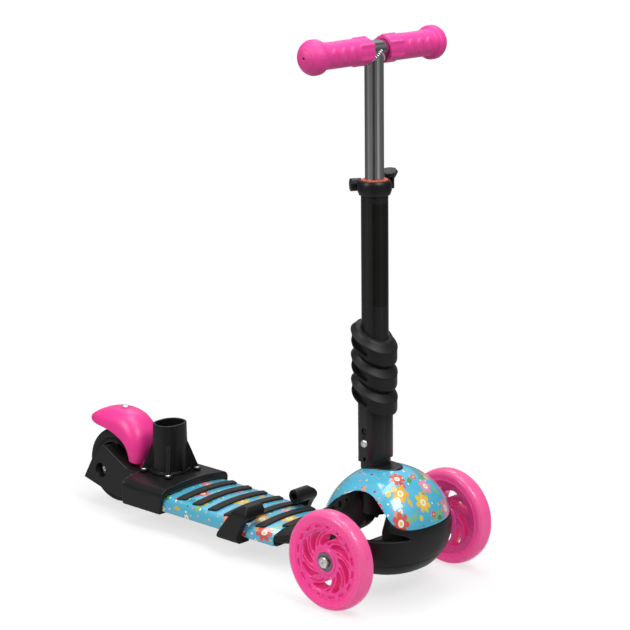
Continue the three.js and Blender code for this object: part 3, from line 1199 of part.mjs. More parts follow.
// Fender: an arched shell that sweeps back over the wheel from a hinge in front of it
function fenderRings(inset) {
  const widthShares = [0.6, 0.82, 0.96, 1, 1, 0.96, 0.84, 0.42];
  const acrossShares = [0, 0.22, 0.5, 0.78, 1];
  const lengthTrimShare = inset ? 0.02 : 0;
  return widthShares.map((widthShare, i) => {
    const share = i / (widthShares.length - 1);
    const sweep = 0.5 + (share - 0.5) * (1 - 2 * lengthTrimShare);
    const angle = radians(FENDER_START_DEGREES + sweep * (FENDER_END_DEGREES - FENDER_START_DEGREES));
    const half = FENDER_HALF_WIDTH * widthShare - inset;
    const depth = (FENDER_CREST_RADIUS - FENDER_SKIRT_RADIUS) * fenderCrestShares[i] - inset;
    const arc = acrossShares.map((acrossShare) => {
      const turn = Math.PI * acrossShare;
      return [-half * Math.cos(turn), depth * Math.sin(turn)];
    });
    const section = inset ? [...arc, [half, -OVERRUN], [-half, -OVERRUN]] : arc;
    return section.map(([y, up]) => {
      const radius = FENDER_SKIRT_RADIUS + up;
      return new THREE.Vector3(radius * Math.cos(angle) - WHEELBASE, y,
        radius * Math.sin(angle) + REAR_WHEEL_RADIUS);
    });
  });
}

function hingeRod(radius, from, to, steps) {
  return rodY(radius, from, to, steps).translate(HINGE_X, 0, HINGE_Z);
}

function atBrake(geometry) {
  return geometry.rotateY(Math.PI / 2 - radians(BRAKE_PAD_DEGREES)).translate(-WHEELBASE, 0, REAR_WHEEL_RADIUS);
}

function fender() {
  const shell = cut(loft(fenderRings(0)), loft(fenderRings(FENDER_WALL)));
  const half = FENDER_TONGUE_HALF_WIDTH;
  const barrel = hingeRod(HINGE_BARREL_RADIUS, -half, half, TUBE_STEPS);
  const skirt = radians(FENDER_START_DEGREES);
  const start = [FENDER_SKIRT_RADIUS * Math.cos(skirt) - WHEELBASE,
    FENDER_SKIRT_RADIUS * Math.sin(skirt) + REAR_WHEEL_RADIUS];
  const tongueTop = start[1] + FENDER_WALL * 2;
  const front = HINGE_X + HINGE_BARREL_RADIUS;
  const tongue = alongY(outline([[HINGE_X - HINGE_BARREL_RADIUS, HINGE_Z], [front, HINGE_Z],
    [front - FENDER_WALL, tongueTop], [start[0], tongueTop], [start[0], start[1]]]), -half, half);
  const springHalf = FENDER_SPRING_HALF_WIDTH + SEAT_GAP;
  const springSpace = block(HINGE_X - 2 * HINGE_BARREL_RADIUS, front + OVERRUN, -springHalf, springHalf,
    HINGE_Z - 2 * HINGE_BARREL_RADIUS, HINGE_Z + HINGE_BARREL_RADIUS + SEAT_GAP);
  const pinBore = hingeRod(HINGE_PIN_RADIUS + SEAT_GAP, -2 * half, 2 * half, SMALL_STEPS);
  const screwBore = atBrake(rodZ(BRAKE_SCREW_RADIUS + SEAT_GAP, FENDER_SKIRT_RADIUS, 2 * FENDER_CREST_RADIUS,
    SMALL_STEPS));
  const boss = atBrake(rodZ(BRAKE_SCREW_HEAD, padTop + SEAT_GAP, crestRadius - FENDER_WALL / 2, SMALL_STEPS));
  return cut(join(shell, barrel, tongue, boss), springSpace, pinBore, screwBore);
}

function fenderPin() {
  return hingeRod(HINGE_PIN_RADIUS, -ARM_OUTER_Y, ARM_OUTER_Y, SMALL_STEPS);
}

function fenderSpring() {
  const coil = tubeY(HINGE_PIN_RADIUS + SEAT_GAP, HINGE_BARREL_RADIUS - SEAT_GAP, -FENDER_SPRING_HALF_WIDTH,
    FENDER_SPRING_HALF_WIDTH, SMALL_STEPS);
  return coil.translate(HINGE_X, 0, HINGE_Z);
}

// Brake block under the fender's crest, with the screw that holds it
const crestRadius = crestRadiusAt(brakeCrestShare);
const padTop = crestRadiusAt(brakeCrestShare / 2) - FENDER_WALL;

function brakePad() {
  const bottom = REAR_WHEEL_RADIUS + BRAKE_PAD_GAP;
  const half = BRAKE_PAD_LENGTH / 2;
  const pad = block(-half, half, -BRAKE_PAD_HALF_WIDTH, BRAKE_PAD_HALF_WIDTH, bottom, padTop);
  const screwSpace = rodZ(BRAKE_SCREW_RADIUS + SEAT_GAP, (bottom + padTop) / 2, padTop + OVERRUN, SMALL_STEPS);
  return atBrake(cut(pad, screwSpace));
}

function brakeScrew() {
  const bottom = (REAR_WHEEL_RADIUS + BRAKE_PAD_GAP + padTop) / 2 + SEAT_GAP;
  const head = screwHead(BRAKE_SCREW_HEAD, SCREW_HEAD_HEIGHT).translate(0, 0, crestRadius + SEAT_GAP);
  return atBrake(join(rodZ(BRAKE_SCREW_RADIUS, bottom, crestRadius + SEAT_GAP * 2, SMALL_STEPS), head));
}

// Seat clips
function clip() {
  const inner = DECK_HALF_WIDTH + SEAT_GAP;
  const outer = inner + CLIP_PLATE;
  const plateOutline = outline([[CLIP_FOOT_REAR_X, CLIP_FOOT_Z], [CLIP_FOOT_FRONT_X, CLIP_FOOT_Z],
    [CLIP_X + CLIP_BOSS_RADIUS, CLIP_BOSS_Z], [CLIP_X + CLIP_BOSS_RADIUS / 2, CLIP_BOSS_Z + CLIP_BOSS_RADIUS * 0.85],
    [CLIP_X - CLIP_BOSS_RADIUS / 2, CLIP_BOSS_Z + CLIP_BOSS_RADIUS * 0.85],
    [CLIP_X - CLIP_BOSS_RADIUS * 1.6, CLIP_BOSS_Z - CLIP_BOSS_RADIUS / 2]]);
  const plate = alongY(plateOutline, -outer, -inner);
  const boss = rodY(CLIP_BOSS_RADIUS, -outer, -CLIP_BOSS_INNER_Y).translate(CLIP_X, 0, CLIP_BOSS_Z);
  const foot = block(CLIP_FOOT_REAR_X, CLIP_FOOT_FRONT_X, -outer, CLIP_FOOT_REACH - DECK_HALF_WIDTH, CLIP_FOOT_Z,
    DECK_BOTTOM_Z - SEAT_GAP);
  const bore = rodY(CLIP_BORE_RADIUS, -CLIP_BOSS_INNER_Y - CLIP_BORE_DEPTH, 0, SMALL_STEPS)
    .translate(CLIP_X, 0, CLIP_BOSS_Z);
  return cut(join(plate, boss, foot), bore);
}

// Assembly
function buildFront() {
  frontWheel('right', -1);
  frontWheel('left', 1);
  piece('front_axle', frontAxle(), STEEL);
  const bolt = axleBolt(axleShankDepth, FRONT_TRACK / 2 + FRONT_CORE_WIDTH / 2 + SEAT_GAP)
    .translate(0, 0, FRONT_WHEEL_RADIUS);
  piece('axle_bolt_left', bolt, STEEL);
  piece('axle_bolt_right', mirrored(bolt), STEEL);
  piece('dome_cover', domeCover(), PRINT_BLUE);
  piece('front_fork', frontFork(), BLACK);
  piece('belly_pan', bellyPan(), BLACK);
  piece('column_socket', columnSocket(), SATIN_BLACK);
  piece('steering_bush_upper', upperBush(), SATIN_BLACK, column);
  piece('steering_bush_lower', lowerBush(), SATIN_BLACK, column);
  piece('steering_nut', steeringNut(), STEEL, column);
  piece('steering_bolt', steeringBolt(), STEEL, column);
}

function buildColumn() {
  piece('outer_tube', outerTube(), SATIN_BLACK, column);
  piece('lower_sleeve', lowerSleeve(), SATIN_BLACK, column);
  piece('snap_button', snapButton(), STEEL, column);
  piece('spiral_sleeve', spiralSleeve(), RUBBER, column);
  piece('t_bar', tBar(), CHROME, column);
  piece('stem_guide', stemGuide(), BLACK, column);
  piece('reducing_bush', reducingBush(), ORANGE, column);
  piece('clamp_collar', clampCollar(), BLACK, column);
  piece('clamp_bolt', clampBolt(), STEEL, column);
  piece('clamp_nut', clampNut(), BLACK, column);
  piece('clamp_lever', clampLever(), BLACK, column);
  piece('grip_right', grip(), PINK, column);
  piece('grip_left', mirrored(grip()), PINK, column);
}

function buildDeck() {
  piece('deck_shell', deckShell(), PRINT_BLUE);
  piece('deck_frame', deckFrame(), BLACK);
  for (let i = 0; i < STRIP_COUNT; i += 1) piece(`grip_strip_${i + 1}`, gripStrip(i), RUBBER);
  piece('seat_clip_right', clip(), BLACK);
  piece('seat_clip_left', mirrored(clip()), BLACK);
}

function buildRear() {
  piece('rear_housing', rearHousing(), BLACK);
  piece('seat_socket', seatSocket(), BLACK);
  rearWheel();
  piece('rear_axle_bolt', rearAxleBolt(), STEEL);
  piece('rear_axle_nut', rearAxleNut(), STEEL);
  piece('fender_brake', fender(), PINK);
  piece('fender_pin', fenderPin(), STEEL);
  piece('fender_spring', fenderSpring(), STEEL);
  piece('brake_pad', brakePad(), RUBBER);
  piece('brake_screw', brakeScrew(), STEEL);
}

buildFront();
buildColumn();
buildDeck();
buildRear();

export default scooter;
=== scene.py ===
# %% [markdown]
# # A child's three wheel scooter in Blender
# The scooter was first drawn as solids with real joints. This lesson dresses those solids: each cell says what
# a piece or a finish is on the real scooter, how it could be made, and why this way was chosen. Blender works
# in metres, +X is forward, +Y is the rider's left, and the wheels stand on z = 0.

# %% Start from an empty scene and load the solids
import json
import math

import bpy
from mathutils import Matrix, Vector

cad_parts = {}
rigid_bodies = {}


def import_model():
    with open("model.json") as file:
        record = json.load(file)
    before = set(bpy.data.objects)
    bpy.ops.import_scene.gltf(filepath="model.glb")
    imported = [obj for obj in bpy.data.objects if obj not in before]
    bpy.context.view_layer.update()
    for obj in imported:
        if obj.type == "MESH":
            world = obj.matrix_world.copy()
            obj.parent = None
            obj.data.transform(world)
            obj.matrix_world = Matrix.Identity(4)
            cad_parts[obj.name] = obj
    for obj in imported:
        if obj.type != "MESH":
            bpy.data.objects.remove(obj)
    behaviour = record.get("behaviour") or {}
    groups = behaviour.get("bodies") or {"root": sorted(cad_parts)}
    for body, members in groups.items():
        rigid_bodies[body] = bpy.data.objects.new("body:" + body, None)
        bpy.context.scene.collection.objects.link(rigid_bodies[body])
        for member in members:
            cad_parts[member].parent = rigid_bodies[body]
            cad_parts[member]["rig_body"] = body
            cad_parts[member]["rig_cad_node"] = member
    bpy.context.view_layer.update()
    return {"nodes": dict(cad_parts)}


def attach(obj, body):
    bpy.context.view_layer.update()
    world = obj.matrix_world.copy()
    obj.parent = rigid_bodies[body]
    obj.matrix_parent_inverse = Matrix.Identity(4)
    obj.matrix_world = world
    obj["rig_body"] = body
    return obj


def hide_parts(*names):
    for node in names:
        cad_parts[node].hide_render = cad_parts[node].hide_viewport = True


MM = 0.001
for leftover in list(bpy.data.objects):
    bpy.data.objects.remove(leftover)
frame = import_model()
nodes = frame["nodes"]
print("solids loaded:", len(nodes))

# %% [markdown]
# ## Places that many pieces share
# The axles and the column's line are used again and again, so they get names, in millimetres. The column leans
# back by less than a degree, and everything on it is drawn upright about one foot point and then leant.

# %% Shared places
AXLE, AXLE_HEIGHT, HALF_TRACK = 230.85, 60, 107.5
WHEELBASE, REAR_AXLE_HEIGHT = 472, 50
COLUMN_X, COLUMN_RAKE = 206.65, math.radians(0.8)
BAR_HEIGHT = 633
SIDES = (("right", -1), ("left", 1))
column_lean = Matrix.Translation(Vector((COLUMN_X * MM, 0, 0))) @ Matrix.Rotation(-COLUMN_RAKE, 4, "Y")
print("column top at", column_lean @ Vector((0, 0, BAR_HEIGHT * MM)))

# %% [markdown]
# ## Helpers for building node trees
# A finish is a small tree of shader nodes. These helpers add one node and feed its sockets in one line, so a
# tree reads like a sentence. A socket takes either a number or another node's output.

# %% Node helpers
def feed(tree, node, sockets):
    for name, value in sockets.items():
        if isinstance(value, bpy.types.NodeSocket):
            tree.links.new(value, node.inputs[name])
        else:
            node.inputs[name].default_value = value
    return node


def add_node(tree, kind, sockets=None, **settings):
    node = tree.nodes.new("ShaderNode" + kind)
    for name, value in settings.items():
        setattr(node, name, value)
    return feed(tree, node, sockets or {})


def maths(tree, operation, *values, clamp=False):
    return add_node(tree, "Math", dict(enumerate(values)), operation=operation, use_clamp=clamp).outputs[0]


def plus(tree, *values, clamp=False):
    return maths(tree, "ADD", *values, clamp=clamp)


def minus(tree, *values):
    return maths(tree, "SUBTRACT", *values)


def times(tree, *values, clamp=False):
    return maths(tree, "MULTIPLY", *values, clamp=clamp)


def vector_maths(tree, operation, *values):
    return add_node(tree, "VectorMath", dict(enumerate(values)), operation=operation).outputs


def vector_of(tree, x, y, z=0.0):
    return add_node(tree, "CombineXYZ", {"X": x, "Y": y, "Z": z}).outputs[0]


def parts_of(tree, vector):
    return add_node(tree, "SeparateXYZ", {0: vector}).outputs


def length_of(tree, x, y):
    return maths(tree, "SQRT", plus(tree, times(tree, x, x), times(tree, y, y)))


def mixed(tree, share, first, second):
    """A colour between two others, each three numbers or another node's output."""
    first, second = (c if isinstance(c, bpy.types.NodeSocket) else tuple(c) + (1,) for c in (first, second))
    return add_node(tree, "Mix", {"Factor": share, 6: first, 7: second}, data_type="RGBA").outputs[2]


def ranged(tree, value, low, high, start=0.3, end=0.7, **settings):
    """A value that runs from start to end, moved to run from low to high."""
    sockets = {"Value": value, "From Min": start, "From Max": end, "To Min": low, "To Max": high}
    return add_node(tree, "MapRange", sockets, **settings).outputs[0]


def noise(tree, place, scale, detail, roughness=0.5):
    sockets = {"Vector": place, "Scale": scale, "Detail": detail, "Roughness": roughness}
    return add_node(tree, "TexNoise", sockets).outputs["Fac"]


def bumped(tree, height, strength, distance=0.001):
    return add_node(tree, "Bump", {"Height": height, "Strength": strength, "Distance": distance}).outputs[0]


print("node helpers are ready")

# %% New groups and materials
def new_group(name, inputs, outputs):
    """A node group with named sockets: its tree, what it is given, and the node that takes its results."""
    tree = bpy.data.node_groups.new(name, "ShaderNodeTree")
    for label, kind, value in inputs:
        socket = tree.interface.new_socket(label, in_out="INPUT", socket_type="NodeSocket" + kind)
        if value is not None:
            socket.default_value = value
    for label in outputs:
        tree.interface.new_socket(label, in_out="OUTPUT", socket_type="NodeSocketFloat")
    return tree, tree.nodes.new("NodeGroupInput").outputs, tree.nodes.new("NodeGroupOutput")


def place_group(tree, group, sockets):
    node = tree.nodes.new("ShaderNodeGroup")
    node.node_tree = group
    return feed(tree, node, sockets).outputs


def new_material(name):
    """A material with an empty Principled shader, its tree, and the object coordinates in millimetres."""
    material = bpy.data.materials.new(name)
    material.use_nodes = True
    tree = material.node_tree
    where = add_node(tree, "TexCoord").outputs["Object"]
    place = vector_maths(tree, "MULTIPLY", where, (1000, 1000, 1000))[0]
    return material, tree, tree.nodes["Principled BSDF"], place


print("groups and materials start from two helpers")

# %% [markdown]
# ## Effects that several finishes share
# Moulded plastic is never quite flat: it has a fine grain and a slow cloudiness in its gloss, and its edges are
# painted paler, a painted highlight that stands in for the light rounded edges catch. Each effect is one group
# with named inputs, placed in every finish with its own values. Edges are found with the Bevel node, whose
# rounded normal differs from the true one only near edges.

# %% Shared effects: grain, cloudiness and a painted edge highlight
def make_grain_group():
    tree, given, outside = new_group(
        "surface grain",
        [("Place", "Vector", None), ("Grain Size", "Float", 0.8), ("Cloud Size", "Float", 25.0)],
        ["Height", "Clouds", "Specks"])
    specks = noise(tree, given["Place"], 0.9, 1.0)
    feed(tree, outside, {
        "Height": noise(tree, given["Place"], maths(tree, "DIVIDE", 1.0, given["Grain Size"]), 2.0, 0.6),
        "Clouds": noise(tree, given["Place"], maths(tree, "DIVIDE", 1.0, given["Cloud Size"]), 3.0, 0.55),
        "Specks": times(tree, minus(tree, specks, 0.68), 12.0, clamp=True)})
    return tree


def make_edge_highlight_group():
    tree, given, outside = new_group(
        "worn edges", [("Place", "Vector", None), ("Amount", "Float", 0.5)], ["Mask"])
    # Painted highlight: a mask of the edges, broken up by noise, along which the finishes paint a paler colour.
    rounded = add_node(tree, "Bevel", {"Radius": 0.0008}, samples=4).outputs[0]
    true_normal = add_node(tree, "NewGeometry").outputs["Normal"]
    agree = vector_maths(tree, "DOT_PRODUCT", rounded, true_normal)["Value"]
    edge = times(tree, minus(tree, 0.995, agree), 9.0, clamp=True)
    broken = times(tree, minus(tree, noise(tree, given["Place"], 0.25, 4.0), 0.4), 4.0, clamp=True)
    feed(tree, outside, {"Mask": times(tree, times(tree, edge, broken), given["Amount"])})
    return tree


grain_group, edge_highlight_group = make_grain_group(), make_edge_highlight_group()


def grained(tree, place, grain, clouds):
    return place_group(tree, grain_group, {"Place": place, "Grain Size": grain, "Cloud Size": clouds})


print("shared effects:", grain_group.name, "and", edge_highlight_group.name)

# %% [markdown]
# ## Plastics, rubber, paint and metal
# One recipe covers every opaque finish: a base colour that drifts slightly with the clouds, a gloss that does
# the same, fine grain as bump, and edges painted paler as a painted highlight. What tells moulded plastic from
# rubber or powder coat is the numbers, so each finish is one call.

# %% The recipe for an opaque finish
def opaque(name, colour, painted_highlight, roughness, drift=0.08, grain=0.8, bump=0.04, metallic=0.0, coat=0.0, shine=0.5):
    material, tree, shader, place = new_material(name)
    effect = grained(tree, place, grain, 28.0)
    # The edges get a painted highlight: a paler colour painted where rounded edges would catch light.
    edges = place_group(tree, edge_highlight_group, {"Place": place, "Amount": 0.3})
    lighter = [min(1.0, c * (1 + 4 * drift) + 0.002) for c in colour]
    feed(tree, shader, {
        "Base Color": mixed(tree, edges["Mask"], mixed(tree, effect["Clouds"], colour, lighter), painted_highlight),
        "Roughness": ranged(tree, effect["Clouds"], roughness * (1 - drift), roughness * (1 + 1.5 * drift)),
        "Normal": bumped(tree, effect["Height"], bump),
        "Metallic": metallic, "Coat Weight": coat, "Coat Roughness": 0.12, "Specular IOR Level": shine})
    return material


print("one recipe serves every opaque finish")

# %% The opaque finishes
pink_plastic = opaque("pink moulded plastic", (0.83, 0.035, 0.27), (0.93, 0.22, 0.5), 0.34,
                      drift=0.05, bump=0.03)
grip_rubber = opaque("pink grip rubber", (0.74, 0.045, 0.28), (0.8, 0.14, 0.4), 0.5,
                     drift=0.05, grain=0.5, bump=0.08)
black_plastic = opaque("black moulded plastic", (0.006, 0.006, 0.0058), (0.045, 0.045, 0.043), 0.36,
                       grain=0.7, bump=0.05, shine=0.3)
dull_black_plastic = opaque("grained black plastic", (0.009, 0.009, 0.0085), (0.05, 0.05, 0.048), 0.5,
                            grain=0.6, bump=0.1, shine=0.3)
black_rubber = opaque("black rubber", (0.014, 0.014, 0.0135), (0.06, 0.06, 0.057), 0.6,
                      grain=0.5, bump=0.12, shine=0.3)
soft_black = opaque("soft black rubber", (0.008, 0.008, 0.0076), (0.045, 0.045, 0.042), 0.46,
                    grain=0.5, bump=0.06, shine=0.3)
column_paint = opaque("black powder coat", (0.0075, 0.0075, 0.0082), (0.045, 0.045, 0.048), 0.33,
                      grain=1.2, coat=0.1, shine=0.35)
orange_plastic = opaque("orange bush plastic", (0.62, 0.09, 0.035), (0.7, 0.2, 0.1), 0.45)
zinc_steel = opaque("zinc plated steel", (0.72, 0.71, 0.69), (0.85, 0.84, 0.82), 0.38,
                    grain=0.4, bump=0.06, metallic=1.0)
bearing_steel = opaque("bearing steel", (0.2, 0.2, 0.198), (0.6, 0.6, 0.59), 0.3, grain=0.4, metallic=1.0)
print("opaque finishes:", len(bpy.data.materials))

# %% [markdown]
# ## Tyres with a painted glow, chrome and clear blocks
# The front tyres are cast in clear pink polyurethane, and light that has soaked into them makes them glow. A
# little scattering and a painted glow, a faint light of their own, do that with less grain in the picture than
# glass would give, and only a thin skin outside is see-through. The light blocks are clear, so theirs is a
# shader with most of its weight in transmission. The handlebar is chromed and polished, with faint draw lines
# along it that also darken it in painted streaks of reflection.

# %% The clear finishes and the chrome
def clear_finish(name, colour, roughness, weight):
    material, tree, shader, place = new_material(name)
    effect = grained(tree, place, 2.0, 20.0)
    feed(tree, shader, {
        "Base Color": mixed(tree, effect["Clouds"], colour, [c * 0.86 for c in colour]),
        "Roughness": roughness, "Transmission Weight": weight, "IOR": 1.45,
        "Normal": bumped(tree, effect["Clouds"], 0.05)})
    return material


def polished_chrome():
    material, tree, shader, place = new_material("polished chrome tube")
    stretched = vector_maths(tree, "MULTIPLY", place, (2.0, 2.0, 0.015))[0]
    # Draw lines along the stem, which also darken the chrome in painted streaks that stand in for reflected
    # dark surroundings.
    draw_lines_and_painted_streaks = noise(tree, stretched, 1.0, 3.0)
    feed(tree, shader, {
        "Base Color": mixed(tree, draw_lines_and_painted_streaks, (0.36, 0.36, 0.37), (0.62, 0.61, 0.61)), "Metallic": 1.0,
        "Roughness": ranged(tree, grained(tree, place, 0.5, 40.0)["Clouds"], 0.09, 0.2),
        "Normal": bumped(tree, draw_lines_and_painted_streaks, 0.03, 0.0005)})
    return material


def polyurethane_with_painted_glow(name, colour, deep, lit, glow, coat=0.15):
    """Pink polyurethane that scatters under its skin and shines on top, with a painted glow of the colour lit:
    a faint light of its own that stands in for light soaked into the part.
    """
    material, tree, shader, place = new_material(name)
    clouds = grained(tree, place, 2.5, 26.0)["Clouds"]
    feed(tree, shader, {
        "Base Color": mixed(tree, clouds, colour, deep),
        "Roughness": ranged(tree, clouds, 0.2, 0.3),
        "Normal": bumped(tree, clouds, 0.04), "Subsurface Weight": 0.25, "Subsurface Radius": (1.0, 0.25, 0.5),
        "Subsurface Scale": 0.004, "Coat Weight": coat, "Coat Roughness": 0.06,
        # The painted glow: an emission that lights the part though it is no lamp.
        "Emission Color": tuple(lit) + (1,), "Emission Strength": glow})
    return material


def clear_skin(name, colour, shown):
    """A thin clear layer: mostly what lies behind it, with a pale tint and a sharp gloss."""
    material, tree, shader, place = new_material(name)
    clouds = grained(tree, place, 3.0, 22.0)["Clouds"]
    feed(tree, shader, {
        "Base Color": mixed(tree, clouds, colour, (0.62, 0.55, 0.6)), "Roughness": 0.1,
        "Alpha": ranged(tree, clouds, shown * 0.85, shown * 1.15), "Coat Weight": 0.3, "Coat Roughness": 0.03})
    return material


# The tyres and the cores carry a painted glow, a faint pink light of their own that brightens their shaded
# sides.
tyre_with_painted_glow = polyurethane_with_painted_glow("pink polyurethane with painted glow", (0.62, 0.03, 0.2), (0.56, 0.025, 0.17),
                                (1, 0.075, 0.34), 0.42)
core_with_painted_glow = polyurethane_with_painted_glow("pink core with painted glow", (0.93, 0.052, 0.33), (0.9, 0.045, 0.3),
                                (1, 0.1, 0.42), 0.1, 0.1)
tyre_skin_clear = clear_skin("clear tyre skin", (0.9, 0.4, 0.6), 0.08)
clear_block = clear_finish("clear light block", (0.9, 0.92, 0.95), 0.1, 0.8)
chrome = polished_chrome()
print("clear finishes and chrome are ready")

# %% [markdown]
# ## The printed film
# The dome and the deck wear the same glossy blue film printed with flowers, leaves, sprigs and dots. It could
# be an image, but a drawn pattern stays sharp at any distance. The film is divided into cells with a Voronoi
# texture: each cell gives a random place, turn and colour, and a little maths round that place draws a motif.
# Petals come from the cosine of the angle, a leaf from two crossing arcs, a sprig from leaves repeated along a
# stem. The groups are laid over each other at different scales, like stencils.

# %% The start of each motif: a point in a cell, seen from the cell's centre
FULL_TURN = 6.2832
MOTIF_INPUTS = [("Place", "Vector", None), ("Cell", "Float", 40.0), ("Size", "Float", 12.0),
                ("Share", "Float", 0.8), ("Seed", "Float", 1.0)]


def motif_start(tree, given):
    """Millimetres from the cell's centre, three random numbers, and a mask of the cells that are printed."""
    shift = vector_of(tree, given["Seed"], times(tree, given["Seed"], 1.73))
    size = vector_of(tree, given["Cell"], given["Cell"], given["Cell"])
    share = vector_maths(tree, "DIVIDE", given["Place"], size)[0]
    place = vector_maths(tree, "ADD", share, shift)[0]
    cells = add_node(tree, "TexVoronoi", {"Vector": place, "Scale": 1.0, "Randomness": 0.35},
                     voronoi_dimensions="2D").outputs
    away = vector_maths(tree, "SUBTRACT", place, cells["Position"])[0]
    x, y, _ = parts_of(tree, vector_maths(tree, "MULTIPLY", away, size)[0])
    chance = add_node(tree, "SeparateColor", {0: cells["Color"]}).outputs
    return x, y, chance, maths(tree, "LESS_THAN", chance[2], given["Share"])


def turned_axes(tree, x, y, chance):
    """The same point on axes turned by a random angle."""
    turn = times(tree, chance, FULL_TURN)
    cosine, sine = maths(tree, "COSINE", turn), maths(tree, "SINE", turn)
    along = plus(tree, times(tree, x, cosine), times(tree, y, sine))
    return along, minus(tree, times(tree, y, cosine), times(tree, x, sine))


def sharp(tree, value, softness=0.22):
    """1 where value is above zero and 0 below, with a narrow soft edge."""
    return plus(tree, maths(tree, "DIVIDE", value, softness), 0.5, clamp=True)


def picked(tree, chance, factor):
    """A second random number, made from the digits that a first one doesn't use."""
    return maths(tree, "FRACT", times(tree, chance, factor))


print("each motif is given:", [label for label, _, _ in MOTIF_INPUTS])

# %% The flower group
def make_flower_group():
    tree, given, outside = new_group(
        "printed flower",
        MOTIF_INPUTS + [("Petals", "Float", 5.0), ("Notch", "Float", 0.45), ("Heart", "Float", 0.3)],
        ["Petal", "Rim", "Heart", "Pip", "Pick"])
    x, y, chance, there = motif_start(tree, given)
    radius = length_of(tree, x, y)
    angle = plus(tree, maths(tree, "ARCTAN2", y, x), times(tree, chance[0], FULL_TURN))
    wave = maths(tree, "COSINE", times(tree, angle, times(tree, given["Petals"], 0.5)))
    lobe = maths(tree, "POWER", maths(tree, "ABSOLUTE", wave), 0.6)
    size = times(tree, given["Size"], plus(tree, 0.72, times(tree, chance[1], 0.4)))
    reach = plus(tree, minus(tree, 1.0, given["Notch"]), times(tree, lobe, given["Notch"]))
    gap = minus(tree, times(tree, size, reach), radius)
    petal = times(tree, sharp(tree, gap), there)
    inner = sharp(tree, minus(tree, gap, times(tree, size, 0.16)), 1.2)
    heart = times(tree, size, given["Heart"])
    feed(tree, outside, {
        "Petal": petal, "Rim": times(tree, petal, minus(tree, 1.0, inner)),
        "Heart": times(tree, sharp(tree, minus(tree, heart, radius)), there),
        "Pip": times(tree, sharp(tree, minus(tree, times(tree, heart, 0.5), radius)), there),
        "Pick": picked(tree, chance[0], 7.31)})
    return tree


print("a flower has petals, a rim, a heart and a pip")

# %% The leaf group and the sprig group
def make_leaf_group():
    tree, given, outside = new_group(
        "printed leaf", MOTIF_INPUTS + [("Fatness", "Float", 0.42)], ["Leaf", "Vein", "Pick"])
    x, y, chance, there = motif_start(tree, given)
    along, across = turned_axes(tree, x, y, chance[0])
    share = maths(tree, "DIVIDE", along, given["Size"])
    widest = times(tree, given["Size"], given["Fatness"])
    width = times(tree, widest, minus(tree, 1.0, times(tree, share, share)))
    side = maths(tree, "ABSOLUTE", across)
    leaf = times(tree, sharp(tree, minus(tree, width, side)), there)
    feed(tree, outside, {"Leaf": leaf, "Vein": times(tree, leaf, sharp(tree, minus(tree, 0.3, side))),
                         "Pick": picked(tree, chance[1], 9.7)})
    return tree


def make_sprig_group():
    tree, given, outside = new_group(
        "printed sprig", MOTIF_INPUTS + [("Pitch", "Float", 4.2), ("Leaf", "Float", 4.6)], ["Sprig", "Pick"])
    x, y, chance, there = motif_start(tree, given)
    along, straight = turned_axes(tree, x, y, chance[0])
    bend = times(tree, times(tree, along, along), 0.022)
    side = maths(tree, "ABSOLUTE", minus(tree, straight, bend))
    out = maths(tree, "DIVIDE", side, given["Leaf"])
    slanted = minus(tree, maths(tree, "DIVIDE", along, given["Pitch"]), times(tree, out, 0.75))
    step = minus(tree, maths(tree, "FRACT", slanted), 0.5)
    fat = times(tree, times(tree, out, minus(tree, 1.0, out)), 1.25)
    leaf = sharp(tree, minus(tree, fat, maths(tree, "ABSOLUTE", step)), 0.12)
    stem = sharp(tree, minus(tree, 0.45, side))
    length = sharp(tree, minus(tree, given["Size"], maths(tree, "ABSOLUTE", along)))
    sprig = times(tree, times(tree, maths(tree, "MAXIMUM", leaf, stem), length), there)
    feed(tree, outside, {"Sprig": sprig, "Pick": picked(tree, chance[1], 5.3)})
    return tree


flower_group, leaf_group, sprig_group = make_flower_group(), make_leaf_group(), make_sprig_group()
print("motifs:", flower_group.name, leaf_group.name, sprig_group.name)

# %% Laying the motifs over the blue
def colour_choice(tree, pick, colours):
    """One of several flat colours, chosen by a random number."""
    ramp = add_node(tree, "ValToRGB", {"Fac": pick})
    ramp.color_ramp.interpolation = "CONSTANT"
    stops = ramp.color_ramp.elements
    stops[0].color = tuple(colours[0]) + (1,)
    stops[1].position, stops[1].color = 1 / len(colours), tuple(colours[1]) + (1,)
    for i, colour in enumerate(colours[2:], 2):
        stops.new(i / len(colours)).color = tuple(colour) + (1,)
    return ramp.outputs["Color"]


SKY, WHITE, GOLD, AMBER = (0.08, 0.46, 0.66), (0.86, 0.87, 0.88), (0.76, 0.42, 0.02), (0.84, 0.56, 0.04)
ROSE, CERISE, CORAL, SALMON = (0.78, 0.3, 0.4), (0.6, 0.07, 0.25), (0.68, 0.08, 0.055), (0.8, 0.27, 0.2)
LIME, FERN, TEAL, BROWN = (0.3, 0.5, 0.035), (0.045, 0.26, 0.06), (0.01, 0.16, 0.2), (0.25, 0.06, 0.03)


def stencil(tree, group, place, cell, size, share, seed, **more):
    sockets = {"Place": place, "Cell": cell, "Size": size, "Share": share, "Seed": seed, **more}
    return place_group(tree, group, sockets)


